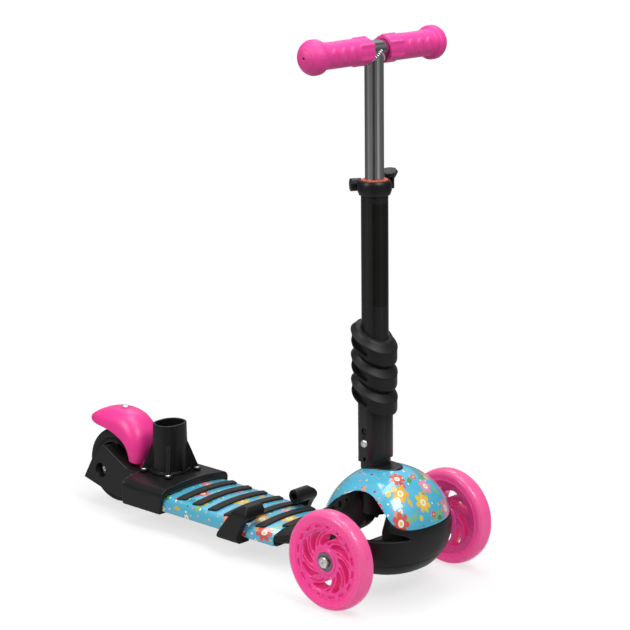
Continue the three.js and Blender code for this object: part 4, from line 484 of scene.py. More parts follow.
def draw_print(tree, place):
    """The whole print as one colour, laid from the back to the front."""
    sprigs = stencil(tree, sprig_group, place, 46.0, 13.0, 0.62, 3.4)
    shown = mixed(tree, sprigs["Sprig"], SKY, colour_choice(tree, sprigs["Pick"], [LIME, FERN, TEAL, LIME]))
    dots = stencil(tree, flower_group, place, 10.5, 1.5, 0.62, 8.1, Petals=2.0, Notch=0.12)
    shown = mixed(tree, dots["Petal"], shown, colour_choice(
        tree, dots["Pick"], [AMBER, ROSE, WHITE, GOLD, CERISE, BROWN, WHITE]))
    leaves = stencil(tree, leaf_group, place, 27.0, 6.4, 0.5, 5.9)
    shown = mixed(tree, leaves["Leaf"], shown, colour_choice(
        tree, leaves["Pick"], [FERN, LIME, GOLD, FERN, SALMON]))
    shown = mixed(tree, leaves["Vein"], shown, LIME)
    small = stencil(tree, flower_group, place, 24.0, 4.6, 0.5, 1.7, Petals=6.0, Notch=0.55, Heart=0.34)
    shown = mixed(tree, small["Petal"], shown, colour_choice(
        tree, small["Pick"], [WHITE, CORAL, AMBER, WHITE, CERISE]))
    shown = mixed(tree, small["Heart"], shown, AMBER)
    for petals, notch, seed, colours in ((5.0, 0.42, 2.2, [GOLD, ROSE, CERISE]),
                                         (7.0, 0.5, 6.6, [CORAL, ROSE, AMBER])):
        large = stencil(tree, flower_group, place, 48.0, 12.5, 0.52, seed,
                        Petals=petals, Notch=notch, Heart=0.34)
        petal = colour_choice(tree, large["Pick"], colours)
        shown = mixed(tree, large["Petal"], shown, petal)
        shown = mixed(tree, times(tree, large["Rim"], 0.5), shown, mixed(tree, 0.35, petal, BROWN))
        shown = mixed(tree, large["Heart"], shown, WHITE)
        shown = mixed(tree, large["Pip"], shown, AMBER)
    return shown


def printed_film(name, unfold):
    """The glossy film. unfold gives the place on the film, in millimetres, of a point on the piece."""
    material, tree, shader, place = new_material(name)
    effect = grained(tree, place, 3.0, 35.0)
    feed(tree, shader, {
        "Base Color": draw_print(tree, unfold(tree, place)),
        "Roughness": ranged(tree, effect["Specks"], 0.22, 0.3, 0.0, 1.0),
        "Normal": bumped(tree, effect["Clouds"], 0.05), "Coat Weight": 1.0, "Coat Roughness": 0.03})
    return material


print("the print is laid in twelve flat colours")

# %% [markdown]
# ## Unfolding the film
# A flat print has to lie on a curved dome without smearing. Seen from above, a step down the dome's side
# covers little ground, so distance from the middle is measured as the angle from straight up times the
# radius, which is how a map of the world from above its pole is drawn. On the deck, the film simply folds
# down over both long edges.

# %% The film on the dome and on the deck
DOME_X, DOME_WAIST = AXLE - 7, 75
DECK_TOP = 42


def unfold_dome(tree, place):
    x, y, z = parts_of(tree, vector_maths(tree, "SUBTRACT", place, (DOME_X, 0.0, DOME_WAIST))[0])
    flat = length_of(tree, x, y)
    arc = times(tree, maths(tree, "ARCTAN2", flat, z), 72.0)
    stretch = maths(tree, "DIVIDE", arc, maths(tree, "MAXIMUM", flat, 0.5))
    return vector_of(tree, times(tree, x, stretch), times(tree, y, stretch))


def unfold_deck(tree, place):
    x, y, z = parts_of(tree, place)
    drop = maths(tree, "MAXIMUM", minus(tree, DECK_TOP, z), 0.0)
    return vector_of(tree, x, plus(tree, y, times(tree, maths(tree, "SIGN", y), drop)))


dome_film = printed_film("printed film on the dome", unfold_dome)
deck_film = printed_film("printed film on the deck", unfold_deck)
print("the film is drawn for", dome_film.name, "and", deck_film.name)

# %% [markdown]
# ## Helpers for modelling by hand
# Most pieces start in one of two ways. A flat piece starts as a circle whose corners are laid on the piece's
# outline, filled and drawn out to its thickness. A round piece starts as a circle laid on half its section,
# which is then spun about its line. Both are then cut, bevelled and smoothed. Sizes are given in millimetres,
# with zero on the floor under the scooter's middle, as in the solids, and the helpers place them in the scene.

# %% Starting, taking up and tidying a piece
def start_clean():
    """Leaves edit mode and selects nothing, so the next operator acts on the new piece alone."""
    if bpy.context.object and bpy.context.object.mode != "OBJECT":
        bpy.ops.object.mode_set(mode="OBJECT")
    bpy.ops.object.select_all(action="DESELECT")


def take_up(piece):
    """Makes one piece the only one selected and the active one."""
    start_clean()
    piece.select_set(True)
    bpy.context.view_layer.objects.active = piece
    return piece


def new_piece(name, add, **settings):
    """One primitive, added with nothing else selected."""
    start_clean()
    add(**settings)
    piece = bpy.context.object
    piece.name = name
    return piece


def edited(piece, *steps):
    """Takes each step, an operator with its settings, in edit mode on the whole piece."""
    take_up(piece)
    bpy.ops.object.mode_set(mode="EDIT")
    for operator, settings in steps:
        bpy.ops.mesh.select_all(action="SELECT")
        operator(**settings)
    bpy.ops.object.mode_set(mode="OBJECT")
    return piece


def tidy_shell(piece):
    """Merges doubled corners, drops stray edges and turns the faces outwards."""
    return edited(piece, (bpy.ops.mesh.remove_doubles, {"threshold": 0.005 * MM}),
                  (bpy.ops.mesh.delete_loose, {}), (bpy.ops.mesh.normals_make_consistent, {"inside": False}))


def tell(label, *pieces):
    """Prints how many faces each piece has, and its size in millimetres."""
    for piece in pieces:
        size = tuple(round(v / MM, 1) for v in piece.dimensions)
        print(label + ":", len(piece.data.polygons), "faces,", size, "mm")

# %% A flat piece from its outline, and a round piece from its section
AXES = {"X": (1, 0, 0), "Y": (0, 1, 0), "Z": (0, 0, 1)}
START_RADIUS = 0.01


def outlined(name, outline, low, high, along="Z"):
    """A circle laid on an outline and drawn out from low to high along one axis."""
    piece = new_piece(name, bpy.ops.mesh.primitive_circle_add, vertices=len(outline), radius=START_RADIUS,
                      fill_type="NGON")
    lay = {"Z": lambda a, b: (a, b, low), "Y": lambda a, b: (a, low, b), "X": lambda a, b: (low, a, b)}[along]
    for corner, (a, b) in zip(piece.data.vertices, outline):
        corner.co = Vector(lay(a, b)) * MM
    step = tuple((high - low) * MM * share for share in AXES[along])
    edited(piece, (bpy.ops.mesh.extrude_region_move, {"TRANSFORM_OT_translate": {"value": step}}))
    return tidy_shell(piece)


def spun(name, section, along="Y", steps=96):
    """A circle laid on half a section, each point a distance from the line and a place along it, and spun."""
    piece = new_piece(name, bpy.ops.mesh.primitive_circle_add, vertices=len(section), radius=START_RADIUS,
                      fill_type="NOTHING")
    lay = {"Z": lambda r, h: (r, 0, h), "Y": lambda r, h: (r, h, 0)}[along]
    for corner, (r, h) in zip(piece.data.vertices, section):
        corner.co = Vector(lay(r, h)) * MM
    edited(piece, (bpy.ops.mesh.spin, {
        "steps": steps, "angle": 2 * math.pi, "center": (0, 0, 0), "axis": AXES[along]}))
    return tidy_shell(piece)


def rod(name, radius, low, high, along="Y", steps=32, inner=0):
    """A plain round rod, or a tube where it has an inner radius."""
    return spun(name, [(inner, low), (radius, low), (radius, high), (inner, high)], along, steps)


def crate(name, from_x, to_x, from_y, to_y, from_z, to_z):
    """A block between two corners, used as a cutter or a limit."""
    middle = Vector((from_x + to_x, from_y + to_y, from_z + to_z)) * 0.5 * MM
    size = Vector((to_x - from_x, to_y - from_y, to_z - from_z)) * MM
    piece = new_piece(name, bpy.ops.mesh.primitive_cube_add, size=1, location=middle, scale=size)
    bpy.ops.object.transform_apply(location=True, rotation=True, scale=True)
    return piece


print("pieces start as outlined, spun, rod or crate")

# %% Moving, copying and joining pieces
def moved(piece, x=0.0, y=0.0, z=0.0, turn=None, about="Y"):
    """Turns a piece about the scene's middle, then moves it by millimetres, all in its mesh."""
    matrix = Matrix.Translation(Vector((x, y, z)) * MM)
    if turn is not None:
        matrix = matrix @ Matrix.Rotation(math.radians(turn), 4, about)
    piece.data.transform(matrix)
    return piece


def on_column(piece):
    piece.data.transform(column_lean)
    return piece


def twin(piece, name=None):
    take_up(piece)
    bpy.ops.object.duplicate()
    other = bpy.context.object
    other.name = name or piece.name + "_twin"
    return other


def facing_twin(piece, name):
    """A copy mirrored across the scooter's middle, or the middle of a wheel."""
    other = twin(piece, name)
    other.data.transform(Matrix.Diagonal((1, -1, 1, 1)))
    return tidy_shell(other)


def side_twin(piece, name, sign, drawn=-1):
    """A copy for one side: as it was drawn where that is its side, and mirrored for the other."""
    return twin(piece, name) if sign == drawn else facing_twin(piece, name)


def joined(piece, *others):
    start_clean()
    for part in (*others, piece):
        part.select_set(True)
    bpy.context.view_layer.objects.active = piece
    bpy.ops.object.join()
    return piece


def ring_of(piece, count, first):
    """Copies of a piece at even turns round the wheel's line, joined in one mesh."""
    others = [moved(twin(piece), turn=first + 360 * i / count) for i in range(1, count)]
    return joined(moved(piece, turn=first), *others)


def cleared(*pieces):
    for piece in pieces:
        bpy.data.objects.remove(piece)


print("pieces can be moved, leant, mirrored and joined")

# %% Modifiers, cuts and soft edges
def apply_modifier(piece, kind, **settings):
    take_up(piece)
    modifier = piece.modifiers.new(kind.title(), kind)
    for name, value in settings.items():
        setattr(modifier, name, value)
    bpy.ops.object.modifier_apply(modifier=modifier.name)
    return piece


def with_boolean(piece, others, operation):
    for other in others:
        apply_modifier(piece, "BOOLEAN", operation=operation, object=other, solver="EXACT")
        cleared(other)
    return piece


def cut_away(piece, *cutters):
    return with_boolean(piece, cutters, "DIFFERENCE")


def kept_within(piece, *limits):
    return with_boolean(piece, limits, "INTERSECT")


def fused(piece, *others):
    return with_boolean(piece, others, "UNION")


def smoothed(piece, sharp=35):
    take_up(piece)
    bpy.ops.object.shade_smooth_by_angle(angle=math.radians(sharp))
    return piece


def rounded_edges(piece, width, segments=2, sharp=35):
    apply_modifier(piece, "BEVEL", width=width * MM, segments=segments, limit_method="ANGLE",
                   angle_limit=math.radians(sharp), use_clamp_overlap=True, miter_outer="MITER_ARC")
    return smoothed(piece, sharp)


def melted(piece, grid, rounds, share):
    """Gives a moulding the soft edges and fillets of its mould: one even skin, relaxed and then thinned."""
    apply_modifier(piece, "REMESH", mode="VOXEL", voxel_size=grid * MM)
    apply_modifier(piece, "SMOOTH", factor=0.5, iterations=rounds)
    apply_modifier(piece, "DECIMATE", ratio=share)
    take_up(piece)
    bpy.ops.object.shade_smooth()
    return piece


print("pieces can be cut, kept within limits, fused, rounded and melted")

# %% Dressing a finished piece, and copying a solid
def body_of_node(name):
    return nodes[name]["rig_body"]


def dress(piece, material, *stands_for, body=None):
    """Gives a finished piece its material, and lets it stand for its solids and ride with their body."""
    piece.data.materials.clear()
    piece.data.materials.append(material)
    if stands_for:
        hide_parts(*stands_for)
    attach(piece, body or body_of_node(stands_for[0]))
    return piece


def solid_copy(node_name, piece_name):
    """A welded copy of a solid with its flat faces joined, free of the solid's own notes."""
    piece = twin(nodes[node_name], piece_name)
    piece.parent = None
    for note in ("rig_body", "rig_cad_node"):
        if note in piece:
            del piece[note]
    return edited(piece, (bpy.ops.mesh.remove_doubles, {"threshold": 0.02 * MM}),
                  (bpy.ops.mesh.dissolve_limited, {"angle_limit": math.radians(0.6)}))


# %% Points of arcs, rounded corners, ovals and smooth curves
def arc_points(centre, radius, start, end, count):
    """Points on an arc, with angles in degrees."""
    angles = [math.radians(start + (end - start) * i / (count - 1)) for i in range(count)]
    return [(centre[0] + radius * math.cos(a), centre[1] + radius * math.sin(a)) for a in angles]


def round_corner(before, corner, after, radius, count):
    """Points of a rounded corner between two straight edges."""
    corner, before, after = Vector(corner), Vector(before), Vector(after)
    start = corner + (before - corner).normalized() * radius
    end = corner + (after - corner).normalized() * radius
    shares = [i / (count - 1) for i in range(count)]
    return [tuple(start.lerp(corner, t).lerp(corner.lerp(end, t), t)) for t in shares]


def softened_outline(corners, radii, count):
    """A closed outline whose corners are rounded, each with its own radius."""
    points = []
    for i, (corner, radius) in enumerate(zip(corners, radii)):
        after = corners[(i + 1) % len(corners)]
        points += round_corner(corners[i - 1], corner, after, radius, count) if radius else [corner]
    return points


def squared_oval(angle, power):
    """A point on an oval of size one that is a little squared where the power is over two."""
    reach = (abs(math.cos(angle)) ** power + abs(math.sin(angle)) ** power) ** (-1 / power)
    return reach * math.cos(angle), reach * math.sin(angle)


def full_circle(count):
    return [2 * math.pi * i / count for i in range(count)]


def smooth_curve(points, between=6):
    """A curve that runs smoothly through all the points."""
    ends = [points[0]] + list(points) + [points[-1]]
    shown = []
    for i in range(1, len(ends) - 2):
        a, b, c, d = (Vector(p) for p in ends[i - 1:i + 3])
        for step in range(between):
            t = step / between
            shown.append(tuple(0.5 * (2 * b + (c - a) * t + (2 * a - 5 * b + 4 * c - d) * t * t +
                                      (3 * b - a - 3 * c + d) * t ** 3)))
    return shown + [tuple(points[-1])]


print("modelling helpers are ready")

# %% [markdown]
# ## The front wheels' cores
# The core is one pink moulding: a rim, a hub, and eight curling arms with deep teardrop pockets between them
# and a groove along each arm. It could be built arm by arm, but the real one reads as a solid disc that the
# mould has hollowed, so a disc is spun and the pockets, grooves and rim slots are cut out of it. Then its skin
# is made even and relaxed, which gives every edge and inner corner the soft fillet of a moulding.

# %% The curling line that arms, grooves and pockets follow
CORE_RADIUS, RIM_INNER, HUB_RADIUS = 46, 38.0, 16.0
SWEEP = 50.0
ARMS, ARM_TURN = 8, 1.1


def swirl_point(radius, angle, aside):
    """A point at a radius on the line that curls back by the sweep, and a little aside of it."""
    bend = max((radius - HUB_RADIUS) / (RIM_INNER - HUB_RADIUS), 0) ** 1.4
    turn = math.radians(angle - SWEEP * bend) + aside / radius
    return radius * math.cos(turn), radius * math.sin(turn)


def swirl_outline(inner, outer, angle, half_width, count=15):
    """An outline along the curl. half_width gives the half width at a share of the way out."""
    shares = [0.5 - 0.5 * math.cos(math.pi * i / (count - 1)) for i in range(count)]
    left = [swirl_point(inner + s * (outer - inner), angle, half_width(s)) for s in shares]
    right = [swirl_point(inner + s * (outer - inner), angle, -half_width(s)) for s in shares[1:-1]]
    return left + right[::-1]


def rounded_ends(share, first, last):
    """1 in the middle, falling in a quarter circle to 0 over the first and last shares."""
    if share < first:
        return math.sqrt(max(1 - ((first - share) / first) ** 2, 0))
    if share > 1 - last:
        return math.sqrt(max(1 - ((share - 1 + last) / last) ** 2, 0))
    return 1.0


def pocket_half_width(share):
    return ((19 + share * 18.6) * math.pi / ARMS - 4.7) * rounded_ends(share, 0.2, 0.36)


def groove_half_width(share):
    return 1.75 * rounded_ends(share, 0.1, 0.1)


print("an arm curls from", swirl_point(HUB_RADIUS, 0, 0), "to", swirl_point(RIM_INNER, 0, 0))

# %% The disc and what is cut from it
core = spun("front_core_blank", [
    (11.4, -10), (15.5, -10), (15.5, -8.6), (38.4, -8.6), (38.4, -10), (CORE_RADIUS, -10), (CORE_RADIUS, 10),
    (38.4, 10), (38.4, 8), (15.5, 8), (15.5, 10), (11.4, 10)], steps=128)
pocket = outlined("pocket", swirl_outline(19, 37.6, 180 / ARMS, pocket_half_width), -13, 13, along="Y")
groove = outlined("groove", swirl_outline(20.5, 36.5, 0, groove_half_width), -13, -5.2, along="Y")
slot_corners = ((40.6, -6.5), (43.8, -7), (44.2, 0), (43.8, 7), (40.6, 6.5), (40.9, 0))
slot_outline = [(r * math.cos(math.radians(a)), r * math.sin(math.radians(a))) for r, a in slot_corners]
slot = outlined("slot", slot_outline, -13, -7.2, along="Y")
nest = crate("light_nest", -6.65, 6.65, -5.65, 5.65, 39.8, 49)
cut_away(core, ring_of(pocket, ARMS, ARM_TURN), ring_of(groove, ARMS, ARM_TURN), ring_of(slot, 16, 8.3),
         ring_of(nest, 3, 30))
melted(core, grid=0.62, rounds=4, share=0.35)
tell("front core", core)

# %% [markdown]
# ## Light blocks, bearings and bolts
# Three clear blocks in the rim flash as the wheel turns. Each hub holds a steel bearing, whose outer race,
# shield and inner race show as rings, and a bolt whose six-sided head has a domed face and a small six-sided
# socket. These are small round parts, so each starts as one section spun round its line.

# %% One light block, one bearing and one bolt
light = rounded_edges(crate("light_block", -6.3, 6.3, -5.2, 5.2, 40.4, 45.0), 0.8, 3)

bearing_half = [(4.4, 0), (4.4, -10), (6.1, -10), (6.3, -9.5), (6.3, -9.2), (9.1, -9.2), (9.3, -9.5),
                (9.4, -10), (11, -10), (11, 0)]
bearing = smoothed(spun("bearing", bearing_half + [(r, -h) for r, h in bearing_half[-2:0:-1]], steps=64))

bolt = kept_within(outlined("bolt_head", arc_points((0, 0), 7.2, 10, 310, 6), -14.3, -10.3, along="Y"),
                   spun("head_turning", [(0, -20), (2, -16.5), (7.6, -12.9), (7.6, -9), (0, -9)], steps=64))
cut_away(bolt, outlined("hex_socket", arc_points((0, 0), 1.6, 0, 300, 6), -15.2, -12.6, along="Y"))
fused(bolt, rod("bolt_shank", 4, -10.3, 38))
rounded_edges(bolt, 0.3)
tell("light, bearing and bolt", light, bearing, bolt)

# %% [markdown]
# ## The tyres
# A front tyre is cast in clear pink polyurethane round the core. Against the core its thick body glows pink,
# and only its outer skin, where there is nothing behind it, looks clear and pale. One see-through body would
# show that only at the price of much grain in the picture. So the tyre is two nested rings, a body with a
# painted glow, a faint light of its own, and a thin clear skin round its tread, spun from two sections.

# %% A tyre's body and its clear skin
TYRE_INNER, TYRE_RADIUS = CORE_RADIUS + 0.25, 60
WALL_SHARES = ((0.12, 0.925), (0.26, 0.975), (0.4, 1.0), (0.54, 0.99), (0.66, 0.945), (0.77, 0.865),
               (0.86, 0.745), (0.93, 0.59), (0.98, 0.36), (1.0, 0.12))


def tyre_section(inner, tread, half):
    """A tyre's section from the inside of one wall over the tread to the other wall."""
    side = [(inner, 0.86)] + [(inner + (tread - inner) * out, wide) for out, wide in WALL_SHARES]
    return [(r, -w * half) for r, w in side] + [(r, w * half) for r, w in reversed(side)]


tyre_body = smoothed(spun("tyre_body", tyre_section(TYRE_INNER, 59.1, 11.85), steps=144), 60)
skin_outer = tyre_section(TYRE_INNER, TYRE_RADIUS, 12)[4:-4]
skin_inner = tyre_section(TYRE_INNER, 59.2, 11.9)[4:-4]
tyre_skin = smoothed(spun("tyre_skin", skin_outer + skin_inner[::-1], steps=144), 60)
tell("tyre's body and skin", tyre_body, tyre_skin)

# %% Setting both front wheels
def set_wheel(piece, name, sign):
    """A wheel piece, drawn facing the rider's right, set at one end of the axle."""
    return moved(side_twin(piece, name, sign), AXLE, sign * HALF_TRACK, AXLE_HEIGHT)


for side, sign in SIDES:
    dress(set_wheel(core, "wheel_core_" + side, sign), core_with_painted_glow, "front_core_" + side)
    dress(set_wheel(bearing, "wheel_bearing_" + side, sign), bearing_steel, "front_bearings_" + side)
    dress(set_wheel(bolt, "wheel_bolt_" + side, sign), zinc_steel, "axle_bolt_" + side)
    dress(set_wheel(tyre_body, "wheel_tyre_" + side, sign), tyre_with_painted_glow, "front_tyre_" + side)
    dress(set_wheel(tyre_skin, "wheel_tyre_skin_" + side, sign), tyre_skin_clear, body="wheel_" + side)
    for i in range(3):
        block = moved(twin(light), turn=30 + 120 * i)
        dress(set_wheel(block, "light_block_%s_%d" % (side, i + 1), sign), clear_block,
              "light_module_%s_%d" % (side, i + 1))
        cleared(block)
cleared(core, bearing, bolt, tyre_body, tyre_skin, light)
print("both front wheels are set")

# %% [markdown]
# ## The dome and the fork under it
# The front of the scooter is an oval dome with a wide arch in each side. The printed cover is a thin shell over
# the upper half. The black fork shows in the arches and carries on below as the jaw round the front. The dome's
# skin is a sphere whose corners are laid on a squared oval, and every piece here is cut out of such bodies. A
# hand-shaped patchwork of faces could give the same form, but cutting keeps the cover and the fork in step.

# %% A dome body
DOME_HALF_LENGTH, DOME_HALF_WIDTH, DOME_RISE, DOME_DROP = 70, 74, 73, 63
FAR = 150


def dome_body(name, inset=0.0):
    """The whole dome as a closed body, a little smaller all round by the inset."""
    piece = new_piece(name, bpy.ops.mesh.primitive_uv_sphere_add, segments=112, ring_count=56, radius=1)
    for corner in piece.data.vertices:
        x, y, z = corner.co
        level = max(-1.0, min(1.0, z))
        flat = math.sqrt(max(1 - level * level, 0))
        along, across = squared_oval(math.atan2(y, x), 2.4)
        tall = DOME_RISE if level >= 0 else DOME_DROP
        corner.co = Vector((DOME_X + (DOME_HALF_LENGTH - inset) * flat * along,
                            (DOME_HALF_WIDTH - inset) * flat * across,
                            DOME_WAIST + (tall - inset) * level)) * MM
    return smoothed(piece, 60)


def block_between(name, low, high):
    """All that lies between two heights."""
    return crate(name, AXLE - FAR, AXLE + FAR, -FAR, FAR, low, high)


def above(z):
    return block_between("above", z, 260)


def below(z):
    return block_between("below", -60, z)


print("the dome is", 2 * DOME_HALF_LENGTH, "mm long and", 2 * DOME_HALF_WIDTH, "mm wide")

# %% The arch, the open rear and the collar
ARCH_FOOT, ARCH_HEIGHT, ARCH_LENGTH, ARCH_REAR = 88.5, 40, 130, -66
ARCH_SHARES = ((0, 0), (0.13, 0.36), (0.25, 0.7), (0.37, 0.925), (0.49, 1), (0.62, 0.92), (0.75, 0.6),
               (0.86, 0.21), (0.93, 0.06), (1, 0))


def below_arch(name, lift):
    """Everything under the side arch, as seen from the side, drawn out through both sides."""
    foot, rear, front = ARCH_FOOT + lift, AXLE - 130, AXLE + 130
    edge = smooth_curve([(AXLE + ARCH_REAR + ARCH_LENGTH * along, foot + ARCH_HEIGHT * up)
                         for along, up in ARCH_SHARES])
    outline = [(rear, 0), (front, 0), (front, foot)] + edge[::-1] + [(rear, foot)]
    return outlined(name, outline, -120, 120, along="Y")


def rear_ways():
    """The two blocks that keep the rear open for the gooseneck to swing."""
    return [crate("way_out", AXLE - FAR, DOME_X, -33, 33, -5, 108),
            crate("swing_room", AXLE - FAR, DOME_X, -48, 48, -5, 97)]


def collar_oval(name, clearance, low, high):
    centre = COLUMN_X - 147 * math.tan(COLUMN_RAKE) + 9.5
    length, width = 28.5 + clearance, 19 + clearance
    ring = [(centre + length * math.cos(a), width * math.sin(a)) for a in full_circle(72)]
    return outlined(name, ring, low, high)


print("arch from", AXLE + ARCH_REAR, "to", AXLE + ARCH_REAR + ARCH_LENGTH)

# %% The printed cover
fall = 34 / 49.5
behind = outlined("behind_cover", [
    (AXLE - 130, 0), (AXLE - 76 - fall * ARCH_FOOT, 0), (AXLE - 42 + fall * 15, 153), (AXLE - 130, 153)],
    -120, 120, along="Y")
cover = cut_away(dome_body("dome_cover_printed"), dome_body("cover_inside", 3), below_arch("cover_arch", 0),
                 *rear_ways(), behind, collar_oval("cover_collar", 0.3, 128, 160))
dress(rounded_edges(cover, 0.6, 3, 40), dome_film, "dome_cover")
tell("cover", cover)

# %% [markdown]
# ## The fork and its pan
# Under the cover the fork is one moulding: a liner, the crown that the column stands on, the scooped block that
# fills the front, and the jaw that runs round below with a boss for each wheel. Its inner corners all have
# moulded fillets. So its bodies are joined first and then melted into one even skin.

# %% The scooped block in front
SCOOP_FOOT = 78


def block_ring(z):
    """The block's outline at a height: it sweeps out to the sides as it rises."""
    sweep = min(max((z - SCOOP_FOOT) / 20, 0), 1)
    sweep = sweep * sweep * (3 - 2 * sweep)
    start = AXLE + 12 + max(z - SCOOP_FOOT, 0) * 0.3
    side = [(start + 30 * s, 33 + sweep * (0.05 * s + 0.95 * s ** 4) * 41) for s in [i / 8 for i in range(9)]]
    side.append((AXLE + 120, side[-1][1]))
    return [(x, -y) for x, y in side[::-1]] + side


def front_block(name, low, high, rows=14):
    """Rings of the block from low to high, each ring drawn out of the one before."""
    ring = block_ring(low)
    piece = new_piece(name, bpy.ops.mesh.primitive_circle_add, vertices=len(ring), radius=START_RADIUS,
                      fill_type="NGON")
    for corner, (x, y) in zip(piece.data.vertices, ring):
        corner.co = Vector((x, y, low)) * MM
    for row in range(1, rows + 1):
        z = low + (high - low) * row / rows
        bpy.ops.object.mode_set(mode="EDIT")
        if row == 1:
            bpy.ops.mesh.select_all(action="SELECT")
        bpy.ops.mesh.extrude_region_move(TRANSFORM_OT_translate={"value": (0, 0, 0)})
        bpy.ops.object.mode_set(mode="OBJECT")
        here = block_ring(z)
        for corner in piece.data.vertices:
            if corner.select:
                near = min(range(len(ring)), key=lambda i: (
                    (ring[i][0] * MM - corner.co.x) ** 2 + (ring[i][1] * MM - corner.co.y) ** 2))
                corner.co = Vector((here[near][0], here[near][1], z)) * MM
        ring = here
    return tidy_shell(piece)


print("block outline:", len(block_ring(SCOOP_FOOT)), "points")

# %% The liner, the crown, the block and the jaw
JAW_EDGE, JAW_CORNER, LINER_INSET = AXLE - 17.5, 10.5, 3.3


def behind_jaw():
    corners = [arc_points((JAW_EDGE, side * 63.5), JAW_CORNER, start, start - 90, 7)
               for side, start in ((-1, 270), (1, 180))]
    return outlined("behind_jaw", [(AXLE - 120, -120)] + corners[0] + corners[1] +
                    [(JAW_EDGE, 120), (AXLE - 120, 120)], -60, 200)


liner = cut_away(dome_body("fork", LINER_INSET), dome_body("liner_inside", 6.7), below(SCOOP_FOOT),
                 below_arch("liner_arch", 3), *rear_ways())
crown = fused(on_column(rod("crown", 22, 128.3, 138, along="Z", steps=72)),
              collar_oval("crown_pad", -0.3, 128.3, 138))
kept_within(crown, dome_body("crown_limit", LINER_INSET))
block_upper = kept_within(front_block("block", 75.2, 128.5), dome_body("block_limit", LINER_INSET))
block_face = cut_away(kept_within(front_block("block_face", 75.2, 128.5), dome_body("face_limit")),
                      cut_away(block_between("over_arch", 60, 200), below_arch("face_arch", -0.3)))
block_lower = kept_within(front_block("block_lower", 45, 76), dome_body("lower_limit"))
jaw = cut_away(dome_body("jaw"), above(SCOOP_FOOT), below(45), behind_jaw(),
               cut_away(dome_body("jaw_inside", 7), above(90)))
fork = fused(liner, crown, block_upper, block_face, block_lower, jaw)
boss = spun("axle_boss", [(0, 60), (13, 60), (13, 74.6), (12, 75.4), (0, 75.4)], steps=48)
moved(boss, AXLE, 0, AXLE_HEIGHT)
fused(fork, facing_twin(boss, "axle_boss_right"), boss)
melted(fork, grid=0.85, rounds=5, share=0.35)
tell("fork", fork)

# %% The pan under the jaw
pan = cut_away(dome_body("belly_pan_moulded"), above(44.7), below(31), behind_jaw(),
               cut_away(dome_body("pan_inside", 7), below(34)))
dress(rounded_edges(pan, 0.9, 3, 40), black_plastic, "belly_pan")
dress(fork, black_plastic, "front_fork")
tell("pan", pan)

# %% [markdown]
# ## The column
# From below, the column is a socket with an oval foot on the dome, a lower sleeve cut off at a slant, a spiral
# sleeve of three slanted bands with D-shaped pockets, and a long black tube with a dark bare label. All are
# round about one line, so each is a section spun round it, cut where needed, and leant with the column.

# %% The socket, the lower sleeve and the tube
socket = on_column(spun("column_socket_moulded", [
    (10.5, 141), (17.8, 141), (17.8, 157.2), (17, 158), (13.6, 158), (13.6, 196), (10.5, 196)],
    along="Z", steps=72))
fused(socket, rounded_edges(collar_oval("socket_foot", -0.3, 138.3, 147), 2.2, 4, 40))
dress(smoothed(socket, 40), column_paint, "column_socket")

sleeve = spun("lower_sleeve_cut", [
    (16.2, 140), (20.65, 140), (20.65, 231.4), (20, 232), (16.2, 232)], along="Z")
cut_away(sleeve, outlined("slant", [(-42, 100), (42, 100), (42, 160.1), (-42, 143.9)], -42, 42, along="Y"),
         crate("notch", -1.6, 2.8, -42, 0, 100, 157.5),
         rod("neck_room", 18.1, 100, 158.3, along="Z", steps=72),
         moved(rod("button_way", 3.9, -40, 0), z=189))
dress(on_column(rounded_edges(sleeve, 0.4, 2, 40)), column_paint, "lower_sleeve")

tube = on_column(spun("outer_tube_drawn", [
    (14.3, 158.3), (15.9, 158.3), (15.9, 482.4), (15.3, 483), (14.3, 483)], along="Z", steps=80))
dress(smoothed(tube, 40), column_paint, "outer_tube")
tell("socket, sleeve and tube", socket, sleeve, tube)

# %% The bare label, a sheet laid round the tube
LABEL_RADIUS, LABEL_MIDDLE, LABEL_HALF, LABEL_SIDE, LABEL_SPREAD = 16.0, 398, 60, -20.7, 38

label = new_piece("bare_label", bpy.ops.mesh.primitive_grid_add, x_subdivisions=32, y_subdivisions=24, size=2)
for corner in label.data.vertices:
    across, up = corner.co.x, corner.co.y
    round_off = max(abs(up) - 0.97, 0) / 0.03
    turn = math.radians(LABEL_SIDE + LABEL_SPREAD * across * (1 - 0.04 * round_off))
    corner.co = Vector((LABEL_RADIUS * math.cos(turn), LABEL_RADIUS * math.sin(turn),
                        LABEL_MIDDLE + LABEL_HALF * up)) * MM
apply_modifier(label, "SOLIDIFY", thickness=0.12 * MM, offset=1)
tidy_shell(on_column(label))
label_film = opaque("dark label film", (0.004, 0.004, 0.003), (0.014, 0.014, 0.012), 0.28,
                    bump=0.02, shine=0.3)
dress(smoothed(label, 40), label_film, body="fork")
tell("label", label)

# %% The screw of the lower sleeve
HEAD_SHARES = ((0.95, 0.45), (0.75, 0.8), (0.4, 1), (0, 1))


def cross_screw(name, radius, height, turn):
    """A domed head with a cross recess, standing up along Z from zero."""
    head = spun(name, [(0, -1), (radius * 0.96, -1), (radius, 0.2)] +
                [(radius * out, height * up) for out, up in HEAD_SHARES], along="Z", steps=40)
    arm, half = radius * 0.62, radius * 0.16
    cut_away(head, *[crate("recess", -x, x, -y, y, height * 0.3, height + 2)
                     for x, y in ((arm, half), (half, arm))])
    return moved(rounded_edges(head, radius * 0.05), turn=turn, about="Z")


sleeve_screw = moved(cross_screw("lower_sleeve_screw", 4.75, 2.0, 38), turn=90, about="X")
dress(on_column(moved(sleeve_screw, y=-20.5, z=174)), zinc_steel, body="fork")
tell("sleeve screw", sleeve_screw)

